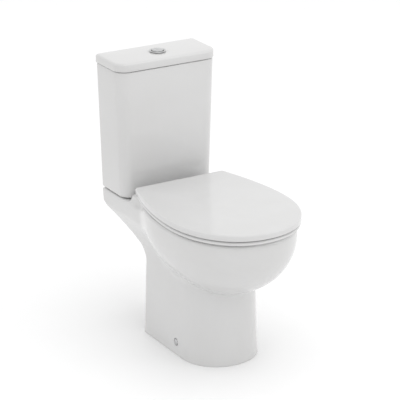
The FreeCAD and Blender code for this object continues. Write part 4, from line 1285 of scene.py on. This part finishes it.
buffer_tree = make_buffer_tree()
for node, body in (("seat_buffers", "seat"), ("cover_buffers", "cover")):
    spots = islands(node)
    low, high = spots[0]
    centres = [((a.x + b.x) / 2, (a.y + b.y) / 2, a.z) for a, b in spots]
    grow(node + "_pads", buffer_tree, centres, body, "buffer_rubber", buffer_rubber, (node,), crease=55,
         Radius=(high.x - low.x) / 2, Height=high.z - low.z)

# %% [markdown]
# ## Caps over the side screws
# A small plated dome is pressed into the recess over each side screw, with a dark gap round it.
# It is turned round the upright axis first, then laid on its side.

# %% Side screw caps
DOME = 0.0035


def make_side_caps():
    pieces = []
    for low, high in islands("side_screw_caps"):
        side = 1 if low.x > 0 else -1
        r = (high.z - low.z) / 2
        y, z = (low.y + high.y) / 2, (low.z + high.z) / 2
        inner, outer = sorted((low.x, high.x), key=abs)
        deep = abs(outer - inner)
        profile = [(r * 0.9, 0.0), (r, deep * 0.05), (r, deep - DOME)]
        profile += [(r * math.cos(a), deep - DOME + DOME * math.sin(a)) for a in np.linspace(0.12, 1.5, 12)]
        cap = turned("side_cap", profile, sides=64)
        lay = Matrix.Translation((inner, y, z)) @ Matrix.Rotation(side * math.pi / 2, 4, "Y")
        cap.data.transform(lay)
        tidy_mesh(cap, 40)
        pieces.append(cap)
    return join("side_screw_cap_pair", pieces)


finish_piece(make_side_caps(), "pan_and_cistern", "chrome", chrome, "side_screw_caps")

# %% [markdown]
# ## Nodes that keep their shape
# The valves, washers and screws inside have the right shape already. They keep it, and only get a
# finish: the material of the model's node is swapped for the one made above.

# %% Finish for the carried-over nodes
FINISH_OF_SLOT = {"ceramic": glazed_china, "seat_plastic": seat_gloss, "chrome": chrome, "steel": zinc_steel,
                  "rubber": black_rubber, "buffer_rubber": buffer_rubber, "valve_plastic": valve_white,
                  "valve_blue": valve_blue, "nut_plastic": nut_plastic}
for row in frame["record"]["subparts"]:
    node_mesh = frame["nodes"][row["node"]].data
    node_mesh.materials.clear()
    node_mesh.materials.append(FINISH_OF_SLOT[row["material_slot"]])

# %% [markdown]
# ## Floor, light and camera
# The toilet stands on a plain pale floor in a white room. Most light comes from the room itself,
# with a large soft panel above and a weaker one at the right, so that curves show as slow changes
# of tone. The view transform is the plain one, so that white stays white. The camera stands well
# back with a long lens, in front and to the left, and looks down a little.

# %% Floor
def make_floor():
    floor = new_piece("studio_floor", [(-9, -9, 0), (9, -9, 0), (9, 9, 0), (-9, 9, 0)], [(0, 1, 2, 3)])
    floor.data.transform(Matrix.Translation((0, 0, -0.0005)))
    paint = skin_material("floor_paint", grey(0.94), grey(0.93), (0.6, 0.75), (1.5, 220.0), 0.00002)
    floor.data.materials.append(paint)
    return floor


make_floor()


# %% Lights
def panel(name, place, target, size, power):
    """A square area light that looks at a target."""
    light = bpy.data.lights.new(name, "AREA")
    light.shape = "SQUARE"
    light.size = size
    light.energy = power
    lamp = bpy.data.objects.new(name, light)
    lamp.location = place
    lamp.rotation_euler = (Vector(target) - Vector(place)).to_track_quat("-Z", "Y").to_euler()
    bpy.context.scene.collection.objects.link(lamp)


centre = Vector((0, 0, 0.4))
panel("light_above", (0.3, -0.6, 3.2), centre, 2.6, 14)
panel("light_right", (2.8, -2.6, 1.9), centre, 2.0, 9)

world = bpy.data.worlds.new("white_room")
bpy.context.scene.world = world
world.use_nodes = True
sky = world.node_tree.nodes["Background"]
sky.inputs["Color"].default_value = grey(1.0)
sky.inputs["Strength"].default_value = 1.05
bpy.context.scene.view_settings.view_transform = "Standard"

# %% Camera
AZIMUTH, ELEVATION = math.radians(-30.9), math.radians(20.7)
DISTANCE = 5.4
TARGET = Vector((-0.0082, 0.0153, 0.4232))
back = Vector((math.sin(AZIMUTH) * math.cos(ELEVATION), -math.cos(AZIMUTH) * math.cos(ELEVATION),
               math.sin(ELEVATION)))
lens = bpy.data.cameras.new("camera")
lens.sensor_width = 36
lens.lens = 176.96
camera = bpy.data.objects.new("camera", lens)
camera.location = TARGET + back * DISTANCE
camera.rotation_euler = (-back).to_track_quat("-Z", "Y").to_euler()
bpy.context.scene.collection.objects.link(camera)
bpy.context.scene.camera = camera
print("camera at", tuple(round(v, 3) for v in camera.location))
